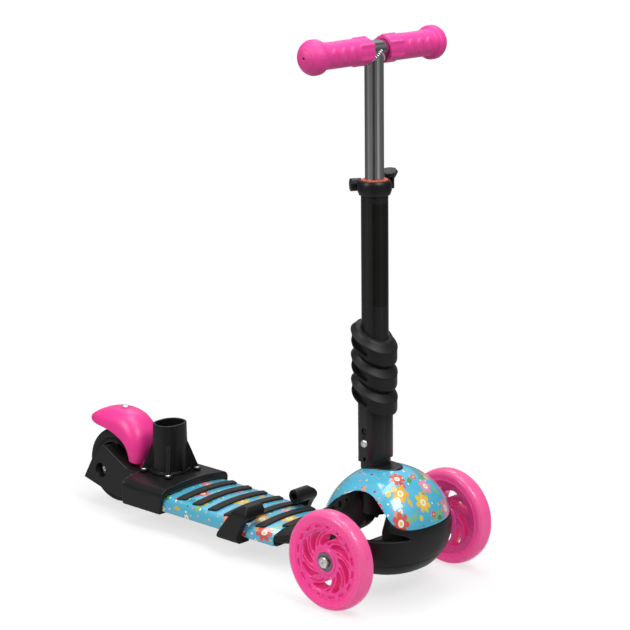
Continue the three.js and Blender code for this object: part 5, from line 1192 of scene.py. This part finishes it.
# %% The spiral sleeve: level bands first, then everything slanted
BAND_MIDDLES = (293, 263, 233)
BAND_PROFILE = ((0, -12.5), (23.6, -12.5), (25.4, -12.1), (26.6, -11), (27, -9.4), (27, 2.9), (27.45, 3.5),
                (27.5, 4.2), (27.1, 4.8), (25.6, 6.2), (23.6, 8.6), (22.4, 10.8), (21.4, 12.2), (0, 12.5))


def level_band(middle):
    return moved(spun("band", [(r, h + middle) for r, h in BAND_PROFILE], along="Z"), x=-1.5)


def pocket_cutter(middle, side):
    low, high, rear, front = middle - 8.8, middle + 1.9, -25.5, 9.5
    outline = softened_outline(
        [(rear, low), (front, low), (front, high), (rear, high)], [1.5, 5.2, 5.2, 1.5], 7)
    return outlined("pocket", outline, *((-40, -3) if side < 0 else (3, 40)), along="Y")


bands = fused(*[level_band(middle) for middle in BAND_MIDDLES])
cut_away(bands, *[pocket_cutter(middle, side) for middle in BAND_MIDDLES for side in (-1, 1)])
fused(bands, rod("band_core", 18.5, 223.5, 305.4, along="Z", steps=72))
slope = Matrix.Identity(4)
slope[2][0] = -math.tan(math.radians(28))
bands.data.transform(slope)
cut_away(bands, rod("tube_way", 16.2, 100, 400, along="Z", steps=72),
         rod("sleeve_way", 20.95, 100, 232.3, along="Z", steps=72))
bands.name = "spiral_sleeve_moulded"
dress(on_column(rounded_edges(bands, 0.6, 2, 42)), soft_black, "spiral_sleeve")
tell("spiral sleeve", bands)

# %% [markdown]
# ## The T bar and its grips
# The stem and the crossbar are one chromed tube each, with a rippled bead of weld where they meet. A grip is
# one rubber moulding with a six-sided collar, three oval pads for the fingers, a hollow for the palm, and a
# ringed bulb at its end. It is turned as one section, and the collar and pads are joined on. Then it is melted
# so that they flow into each other.

# %% The chromed tubes and the bead of weld
TUBE_RADIUS, RIPPLES = 11.1, 38

crossbar = spun("bar_cross", [
    (0, -104), (10.5, -104), (TUBE_RADIUS, -103.4), (TUBE_RADIUS, 103.4), (10.5, 104), (0, 104)], steps=80)
t_bar = fused(rod("t_bar_chromed", TUBE_RADIUS, 332, BAR_HEIGHT, along="Z", steps=80, inner=9.6),
              moved(crossbar, z=BAR_HEIGHT))
dress(on_column(smoothed(t_bar, 40)), chrome, "t_bar")

ripples = []
for turn in full_circle(RIPPLES):
    along, across = 11.6 * math.cos(turn), 11.6 * math.sin(turn)
    ripples.append(new_piece("ripple", bpy.ops.mesh.primitive_uv_sphere_add, segments=14, ring_count=8,
                             radius=1.9 * MM, location=Vector((along, across, 632.2 - abs(across))) * MM))
    bpy.ops.object.transform_apply(location=True, rotation=True, scale=True)
bead = joined(*ripples)
bead.name = "weld_bead"
dress(on_column(melted(bead, grid=0.35, rounds=2, share=0.6)), chrome, body="handlebar")
tell("T bar and bead", t_bar, bead)

# %% One grip, drawn for the right hand
BULB_RADIUS, BULB_SHOULDER = 20, -99.5


def cap(radius):
    """How far out the bulb's domed cap lies at a distance from its middle."""
    return BULB_SHOULDER - 15.5 * math.sqrt(max(1 - (radius / BULB_RADIUS) ** 2, 0))


def bulb_section():
    """The ringed bulb at a grip's end, from the flange out to the middle of its cap."""
    points = [(15.35, -89.5), (15.7, -91), (17.6, -92), (19.4, -93.2), (BULB_RADIUS, -95),
              (BULB_RADIUS, BULB_SHOULDER)]
    for r in (19.55, 18.7, 17.5, 15.9, 13.9):
        points += [(r + out, cap(r) + back) for out, back in ((0.42, 0.9), (0.1, 1.5), (-0.45, 0.55))]
    groove = [(11.8, cap(12)), (9.9, cap(9.9)), (9.3, cap(9.5) + 0.9), (8.7, cap(8.8) - 0.1)]
    return points + groove + [(r, cap(r)) for r in (5, 2, 0)]


def ball(segments, middle, size):
    """A sphere stretched to a size and set at a place, both in millimetres."""
    piece = new_piece("ball", bpy.ops.mesh.primitive_uv_sphere_add, segments=segments,
                      ring_count=segments // 2, radius=1)
    stretched = Matrix.Diagonal([v * MM for v in size] + [1])
    piece.data.transform(Matrix.Translation(Vector(middle) * MM) @ stretched)
    return piece


HEX_RADIUS = 16.9
grip = spun("grip_moulded", [(0, -12), (15.2, -12), (15.35, -40)] + bulb_section())
collar = outlined("hex_collar", arc_points((0, 0), HEX_RADIUS, 30, 330, 6), -33, -12, along="Y")
taper = new_piece("taper", bpy.ops.mesh.primitive_cone_add, vertices=6, radius1=HEX_RADIUS * MM,
                  radius2=15 * MM, depth=4 * MM, location=(0, 0, 0))
fused(grip, collar, moved(taper, y=-35, turn=90, about="X"))
for i in range(3):
    fused(grip, ball(48, (13.8, -47 - 15.5 * i, 0.5), (3.1, 6.4, 8.6)))
cut_away(grip, ball(64, (0, -62, 18.2), (12, 27, 4.3)), rod("bar_way", 11.4, -104.3, 0, steps=64),
         rod("vent", 1.6, -120, -110, steps=24))
melted(moved(grip, y=-2.3), grid=0.5, rounds=3, share=0.45)
tell("each grip", grip)
for side, sign in SIDES:
    placed = moved(side_twin(grip, "grip_moulded_" + side, sign), z=BAR_HEIGHT)
    dress(on_column(placed), grip_rubber, "grip_" + side)
cleared(grip)

# %% [markdown]
# ## The deck and its strips
# The deck is a moulded tray with a gently domed top that rises a little towards the rear. The solid has its
# inside, so a welded copy of it is lifted at the top and given a softly rounded rim. Eight rubber strips lie
# across it. Each is a bar whose two ends are cut at a slant, laid on the dome of the deck row by row.

# %% How high the deck's top lies
def deck_rise(x):
    """How much the top is lifted at a distance behind the front axle."""
    return max(0.0, -168 - x) * 0.03


def deck_top(x, y):
    return DECK_TOP + deck_rise(x) + 5 * (1 - min(abs(y) / 55, 1) ** 2)


print("deck top, front and rear:", deck_top(-150, 0), deck_top(-330, 0))

# %% The deck
deck = solid_copy("deck_shell", "deck_shell_printed")
for corner in deck.data.vertices:
    x, z = corner.co.x / MM - AXLE, corner.co.z / MM
    corner.co.z += deck_rise(x) * min(max((z - 36) / 6, 0), 1) * MM
dress(rounded_edges(deck, 2.6, 5, 30), deck_film, "deck_shell")
tell("deck", deck)

# %% The strips
STRIPS, FIRST_STRIP, STRIP_PITCH = 8, -336, 27.5
STRIP_HALF_WIDTH, STRIP_RISE, END_SLANT = 6.1, 3.2, 2.2


def strip(name, x, half_length):
    """A bar laid across the deck, with slanted ends and rounded upper edges."""
    piece = new_piece(name, bpy.ops.mesh.primitive_grid_add, x_subdivisions=8, y_subdivisions=24, size=2)
    for corner in piece.data.vertices:
        across, along = corner.co.x, corner.co.y
        y = along * (half_length - END_SLANT * across)
        corner.co = Vector((AXLE + x + across * STRIP_HALF_WIDTH, y, deck_top(x, y) + STRIP_RISE)) * MM
    apply_modifier(piece, "SOLIDIFY", thickness=(STRIP_RISE - 0.3) * MM, offset=-1)
    return rounded_edges(tidy_shell(piece), 1.5, 4, 50)


for i in range(STRIPS):
    bar = strip("deck_strip_%d" % (i + 1), FIRST_STRIP + STRIP_PITCH * i, 30 if i == STRIPS - 1 else 48.5)
    dress(bar, black_rubber, "grip_strip_%d" % (i + 1))
tell("last strip", bar)

# %% [markdown]
# ## The seat clips
# A clip hooks round the deck's edge and ends on top in a thick round boss with a bore for the seat's rod. Seen
# from the side it leans forward, and seen from the front its back is one generous curve. So it is what two
# outlines have in common: the one from the side drawn across, and the one from the front drawn along.

# %% One clip, and its twin on the other side
CLIP_X, CLIP_Z, BOSS_RADIUS = -188, 60, 9.2

leg = [(-192.5, 20.5), (-194.5, 30), (-190.5, 39), (-185.5, 48)]
heel = [(-203, 60.5), (-215, 45.5), (-227.5, 29.5), (-230, 24.5), (-229.5, 21.5), (-227, 20.5)]
side_view = leg + arc_points((CLIP_X, CLIP_Z), BOSS_RADIUS, -40, 128, 16) + heel
front_view = softened_outline(
    [(31, 50.8), (52, 50.8), (55.7, 47.5), (55.7, 27.6), (44, 27.6), (44, 20.5), (65, 20.5), (65, 69.2),
     (31, 69.2)], [0, 2, 2, 0, 0, 2, 6, 15, 0], 9)
clip = kept_within(outlined("clip_side", side_view, 20, 70, along="Y"),
                   outlined("clip_front", front_view, -240, -170, along="X"))
cut_away(clip, crate("over_deck", -240, -160, 20, 55, 45, 80))
boss = spun("clip_boss", [(0, 31), (8.6, 31), (BOSS_RADIUS, 31.6), (BOSS_RADIUS, 57), (0, 57)], steps=64)
fused(clip, moved(boss, CLIP_X, 0, CLIP_Z))
cut_away(clip, moved(rod("clip_bore", 4.5, 20, 53, steps=40), CLIP_X, 0, CLIP_Z))
melted(moved(clip, AXLE), grid=0.55, rounds=3, share=0.3)
for side, sign in SIDES[::-1]:
    dress(side_twin(clip, "clip_" + side, sign, drawn=1), black_plastic, "seat_clip_" + side)
tell("each clip", clip)
cleared(clip)

# %% [markdown]
# ## The rear housing and the seat socket
# The housing is a hood over the deck's end that carries the wheel between two thick arms. Its solid has the
# right bores and arms, so a copy of it is taken, its lip is filled down to the deck and its outside is kept
# within a domed hoop. Then it is melted for moulded edges. The oval socket stands on it with four gussets, each
# ending in a foot with a screw.

# %% The housing
LIP_STEP = 11.2


def hoop(name, half, low, high, radius, dome, from_x, to_x):
    """A domed hoop drawn along the scooter."""
    crown = [(half * s, high + dome * (1 - (s * half / (half - radius)) ** 2)) for s in (0.6, 0.4, 0.2)]
    edge = [(half, low)] + arc_points((half - radius, high - radius), radius, 0, 90, 9) + crown
    whole = edge + [(0, high + dome)] + [(-y, z) for y, z in reversed(edge)]
    return outlined(name, whole, from_x + AXLE, to_x + AXLE, along="X")


housing = solid_copy("rear_housing", "rear_housing_moulded")
lip = kept_within(crate("lip", AXLE - 397.4, AXLE - 331, -57.5, 57.5, 45, 59.5),
                  hoop("lip_limit", 57.5, 40, 57, 9, 2.5, -400, -330))
for i in range(6):
    x = -397.6 + LIP_STEP * i
    under = [(-58, 20)] + [(y, deck_top(x, y) + 0.5) for y in range(-56, 57, 4)] + [(58, 20)]
    cut_away(lip, outlined("under_lip", under, AXLE + x - 0.4, AXLE + x + LIP_STEP + 0.4, along="X"))
fused(housing, lip)
kept_within(housing, fused(hoop("limit", 60, 24.3, 58, 11, 3.9, -408, -325),
                           crate("arms", AXLE - 520, AXLE - 405.5, -60, 60, 15, 90)))
dress(melted(housing, grid=0.9, rounds=6, share=0.3), black_plastic, "rear_housing")
tell("housing", housing)

# %% The seat socket with its gussets, feet and screws
SEAT_X, SEAT_FOOT = AXLE - 378, 61.4
SCREW_X, SCREW_Y = 22.5, 25.5
FOUR_CORNERS = ((-1, -1), (-1, 1), (1, -1), (1, 1))


def oval_rod(name, half_length, half_width, low, high, spread=0.0):
    """An upright oval rod that is wider at its foot by the spread."""
    ring = [squared_oval(a, 2.3) for a in full_circle(96)]
    piece = outlined(name, [(x * half_length, y * half_width) for x, y in ring], low, high)
    for corner in piece.data.vertices:
        if corner.co.z < (low + high) / 2 * MM:
            corner.co.x *= 1 + spread / half_length
            corner.co.y *= 1 + spread / half_width
    return piece


seat_socket = oval_rod("seat_socket_moulded", 18.6, 22.6, SEAT_FOOT, 126, 1.6)
parts = [oval_rod("socket_foot", 23.5, 27.5, SEAT_FOOT, 64)]
for sx, sy in FOUR_CORNERS:
    gusset = outlined("gusset", [(8, 62), (37, 62), (36.5, 66), (24.5, 96), (20, 105), (8, 105)],
                      -2.3, 2.3, along="Y")
    parts += [moved(rod("foot", 5.6, SEAT_FOOT, 64.6, along="Z"), SCREW_X * sx, SCREW_Y * sy),
              moved(gusset, turn=math.degrees(math.atan2(SCREW_Y * sy, SCREW_X * sx)), about="Z")]
for turn in (180, 0):
    rib = outlined("rib", [(6, 62), (26.5, 62), (25.8, 66), (19.4, 94), (6, 94)], -2, 2, along="Y")
    parts.append(moved(rib, turn=turn, about="Z"))
fused(seat_socket, *parts)
cut_away(seat_socket, oval_rod("post_way", 15.6, 19.6, 66, 140, -0.6))
melted(seat_socket, grid=0.6, rounds=3, share=0.3)
dress(moved(seat_socket, SEAT_X), black_plastic, "seat_socket")
for i, (sx, sy) in enumerate(FOUR_CORNERS):
    screw = cross_screw("socket_screw_%d" % (i + 1), 3.6, 1.7, 20 + 35 * i)
    moved(screw, SEAT_X + SCREW_X * sx, SCREW_Y * sy, 64.5)
    dress(screw, zinc_steel, body=body_of_node("seat_socket"))
tell("seat socket and last screw", seat_socket, screw)

# %% [markdown]
# ## The fender brake and the rear wheel
# The fender is a pink shell that arches over the rear wheel and ends in a rounded tongue for the heel. It is
# laid out row by row from the hinge to the tongue: each row is half an oval across, and its height, skirt and
# width follow smooth curves. The sheet is then given its thickness. Under it turns a black wheel whose tyre has
# full round shoulders.

# %% The fender's height, skirt and half width, by the angle round the wheel
HINGE_END, TONGUE_END = 9, 124
CREST = smooth_curve([(HINGE_END, 58.5), (16, 62), (33, 71.5), (50, 78.5), (67, 82), (83, 80.5), (100, 78.5),
                      (112, 77.5), (TONGUE_END, 76.5)])
SKIRT = smooth_curve([(HINGE_END, 46.7), (25, 49), (46, 52.7), (67, 53), (87, 54.5), (100, 57), (110, 61),
                      (118, 66), (TONGUE_END, 73)])
WIDTH = smooth_curve([(HINGE_END, 27.4), (60, 28), (100, 28), (110, 26.5), (117, 23), (121, 18.5),
                      (TONGUE_END, 12)])


def along_curve(curve, place):
    """The value at a place, on the straight line between the two points of the curve next to it."""
    for (a, value_a), (b, value_b) in zip(curve, curve[1:]):
        if place <= b:
            return value_a + (value_b - value_a) * min(max((place - a) / (b - a), 0), 1)
    return curve[-1][1]


print("fender crest, skirt and half width at 67 degrees:", [along_curve(c, 67) for c in (CREST, SKIRT, WIDTH)])

# %% The fender
REAR_X = AXLE - WHEELBASE
HINGE_X, HINGE_Z, HINGE_HALF = AXLE - 413, 54, 14.6

fender = new_piece("fender_brake_moulded", bpy.ops.mesh.primitive_grid_add, x_subdivisions=72,
                   y_subdivisions=36, size=2)
for corner in fender.data.vertices:
    angle = HINGE_END + (TONGUE_END - HINGE_END) * (corner.co.x + 1) / 2
    around = math.pi * (corner.co.y + 1) / 2
    crest, skirt, half = (along_curve(curve, angle) for curve in (CREST, SKIRT, WIDTH))
    across = math.copysign(abs(math.cos(around)) ** 0.8, math.cos(around))
    radius = skirt + (crest - skirt) * max(math.sin(around), 0) ** 0.8
    turn = math.radians(angle)
    corner.co = Vector((REAR_X + radius * math.cos(turn), half * across,
                        REAR_AXLE_HEIGHT + radius * math.sin(turn))) * MM
apply_modifier(fender, "SOLIDIFY", thickness=3.2 * MM, offset=-1)
tidy_shell(fender)


def arm_room(from_y, to_y):
    """The room over one arm of the housing that the fender keeps free when it is pressed."""
    side = [(-446, 20), (-446, 78), (-427, 68.6), (-408, 62.6), (-390, 62.6), (-390, 20)]
    return moved(outlined("arm_room", side, from_y, to_y, along="Y"), AXLE)


tongue = outlined("tongue", [(-418, 52), (-409, 52), (-408.6, 60), (-409.5, 68), (-413, 68)], -HINGE_HALF,
                  HINGE_HALF, along="Y")
barrel = rod("barrel", 5.4, -HINGE_HALF, HINGE_HALF, steps=48)
fused(fender, moved(tongue, AXLE), moved(barrel, HINGE_X, 0, HINGE_Z))
cut_away(fender, moved(rod("pin_way", 2.55, -40, 40), HINGE_X, 0, HINGE_Z), arm_room(16.9, 45),
         arm_room(-45, -16.9))
dress(melted(fender, grid=0.7, rounds=5, share=0.3), pink_plastic, "fender_brake")
tell("fender", fender)

# %% The rear tyre
rear_tyre = moved(spun("rear_tyre_cast", tyre_section(37.2, 50, 12), steps=128), REAR_X, 0, REAR_AXLE_HEIGHT)
dress(smoothed(rear_tyre, 50), black_rubber, "rear_tyre")
tell("rear tyre", rear_tyre)

# %% [markdown]
# ## Pieces that keep their solid's shape
# Many pieces of the scooter, such as the clamp's collar, the hinge pin and the bolts, already have the right
# shape as solids, but a solid has razor edges and flat facets. A welded copy of each gets its edges rounded
# with a Bevel modifier and its curved faces shaded smoothly. The copy then stands for the solid. A few need
# more: the deck's frame gets a fuller neck, and the clamp's nut and lever are made larger.

# %% A welded, edge-rounded copy of a solid
def moulded(material, edge, *node_names):
    """Copies of solids with their edges rounded and their curves smoothed, each standing for its solid."""
    for name in node_names:
        piece = solid_copy(name, name + "_finished")
        dress(rounded_edges(piece, edge, 2, 38), material, name)
        tell(name, piece)


moulded(black_plastic, 0.8, "clamp_collar")
moulded(black_plastic, 0.4, "rear_core")
moulded(black_plastic, 0.3, "stem_guide", "snap_button")

# %% The deck's frame with its grooved neck
GROOVE_HALF = 3.6

neck_top = smooth_curve([(-143, 45), (-131, 54), (-118, 62.5), (-106, 71), (-91, 81), (-77, 92.5),
                         (-65, 101.5), (-49, 109), (-37, 113)], 4)
neck_foot = [(-37, 104), (-60, 78), (-80, 62), (-100, 52), (-130, 42)]
neck = moved(outlined("neck", neck_top + neck_foot, -13.5, 13.5, along="Y"), AXLE)
for place, foot, top in ((-58, 82, 98), (-69, 74, 92), (-80, 66, 83), (-91, 59, 74)):
    for inner, outer in ((11, 15), (-15, -11)):
        cut_away(neck, crate("neck_groove", AXLE + place - GROOVE_HALF, AXLE + place + GROOVE_HALF,
                             inner, outer, foot, top))
deck_frame = fused(solid_copy("deck_frame", "deck_frame_moulded"), neck)
dress(rounded_edges(deck_frame, 0.7, 2, 38), dull_black_plastic, "deck_frame")
tell("deck frame", deck_frame)

# %% The bushes and the brake pad
moulded(dull_black_plastic, 0.2, "steering_bush_upper", "steering_bush_lower")
moulded(black_rubber, 0.5, "brake_pad")
bush = spun("reducing_bush_moulded", [
    (11.4, 462), (14, 462), (14, 483.3), (15.5, 483.3), (15.5, 484.7), (15.2, 485), (11.7, 485),
    (11.4, 484.7)], along="Z", steps=72)
dress(on_column(smoothed(bush, 40)), orange_plastic, "reducing_bush")
tell("reducing bush", bush)

# %% The clamp's nut and lever
nut = solid_copy("clamp_nut", "clamp_nut_moulded")
heart = sum([corner.co for corner in nut.data.vertices], Vector()) / len(nut.data.vertices)
for corner in nut.data.vertices:
    corner.co = heart + (corner.co - heart) * 1.22
dress(rounded_edges(nut, 1.2, 3, 38), black_plastic, "clamp_nut")

lever = solid_copy("clamp_lever", "clamp_lever_moulded")
base = min(corner.co.z for corner in lever.data.vertices)
for corner in lever.data.vertices:
    corner.co.z = base + (corner.co.z - base) * 1.5
dress(melted(lever, grid=0.5, rounds=8, share=0.4), black_plastic, "clamp_lever")
tell("nut and lever", nut, lever)

# %% The steel parts
moulded(zinc_steel, 0.3, "front_axle", "rear_bearings", "rear_axle_bolt", "rear_axle_nut", "fender_pin",
        "fender_spring", "brake_screw", "steering_bolt", "steering_nut", "clamp_bolt")

# %% [markdown]
# ## Camera, floor and light
# The photograph was taken from in front and to the rider's right, a little above the handlebar, with a long
# lens. The floor is plain and pale and fades out into white, as a studio sweep does. Large soft lights give the
# broad reflections that gloss and chrome need. The surroundings are white to the camera, dim for the black
# pieces, and hold a dark band for the metal to reflect.

# %% The camera
camera_data = bpy.data.cameras.new("camera")
camera = bpy.data.objects.new("camera", camera_data)
bpy.context.scene.collection.objects.link(camera)
camera_data.sensor_width = 36
camera_data.lens = 126.41
camera_data.clip_end = 50
camera.location = (1844.05 * MM, -1883.5 * MM, 930.1 * MM)
yaw, pitch = math.radians(42.681), math.radians(13.616)
looking = Vector((-math.cos(pitch) * math.sin(yaw), math.cos(pitch) * math.cos(yaw), -math.sin(pitch)))
camera.rotation_euler = looking.to_track_quat("-Z", "Y").to_euler()
bpy.context.scene.camera = camera
print("camera looks along", tuple(round(v, 3) for v in looking))

# %% The floor
FADE_START, FADE_END = 450, 1100

floor = new_piece("floor", bpy.ops.mesh.primitive_plane_add, size=14, location=(0, 0, 0))
floor_material, tree, shader, place = new_material("pale floor")
clouds = grained(tree, place, 4.0, 900.0)["Clouds"]
reach = vector_maths(tree, "LENGTH", place)["Value"]
feed(tree, shader, {
    "Base Color": mixed(tree, clouds, (0.92, 0.92, 0.92), (0.95, 0.95, 0.95)), "Roughness": 0.7,
    "Alpha": ranged(tree, reach, 0.3, 0.0, FADE_START, FADE_END, interpolation_type="SMOOTHERSTEP")})
floor.data.materials.append(floor_material)
print("floor fades out from", FADE_START, "to", FADE_END, "mm")

# %% The lights
def soft_light(name, location, target, size, size_y, power):
    data = bpy.data.lights.new(name, "AREA")
    data.shape = "RECTANGLE"
    data.size, data.size_y, data.energy = size, size_y, power
    light = bpy.data.objects.new(name, data)
    bpy.context.scene.collection.objects.link(light)
    light.location = location
    light.rotation_euler = (Vector(target) - Vector(location)).to_track_quat("-Z", "Y").to_euler()


soft_light("key light", (1.5, -0.2, 1.9), (0.1, 0, 0.25), 0.8, 0.8, 21)
soft_light("side light", (-0.5, -2.0, 1.7), (0, 0, 0.25), 0.6, 1.2, 24)
soft_light("top light", (0.1, 0.2, 2.4), (0, 0, 0.2), 1.2, 1.2, 20)
soft_light("back light", (-1.2, 1.5, 2.2), (0, 0, 0.3), 0.8, 0.8, 7)

# %% The surroundings: a ramp by height, times bright and dark panels round about
world = bpy.data.worlds.new("studio")
world.use_nodes = True
bpy.context.scene.world = world
sky = world.node_tree
x, y, z = parts_of(sky, add_node(sky, "TexCoord").outputs["Generated"])
band = add_node(sky, "ValToRGB", {"Fac": plus(sky, times(sky, z, 0.5), 0.5)})
stops = band.color_ramp.elements
stops[0].position, stops[0].color = 0.35, (0.35, 0.35, 0.35, 1)
stops[1].position, stops[1].color = 0.95, (0.7, 0.7, 0.7, 1)
stops.new(0.5).color = (0.1, 0.1, 0.1, 1)
stops.new(0.68).color = (0.32, 0.32, 0.33, 1)
azimuth = maths(sky, "ARCTAN2", y, x)
broad = maths(sky, "SINE", plus(sky, times(sky, azimuth, 3.0), 1.2))
narrow = times(sky, maths(sky, "SINE", times(sky, azimuth, 8.0)), 0.55)
panels = maths(sky, "MAXIMUM", plus(sky, times(sky, plus(sky, broad, narrow), 0.5), 0.98), 0.08)
lit = add_node(sky, "VectorMath", {0: band.outputs["Color"], "Scale": panels}, operation="SCALE").outputs[0]
camera_ray = add_node(sky, "LightPath").outputs["Is Camera Ray"]
feed(sky, sky.nodes["Background"], {"Color": mixed(sky, camera_ray, lit, (1, 1, 1)), "Strength": 1.0})
bpy.context.scene.view_settings.view_transform = "Standard"
print("surroundings:", world.name, "with", len(sky.nodes), "nodes")
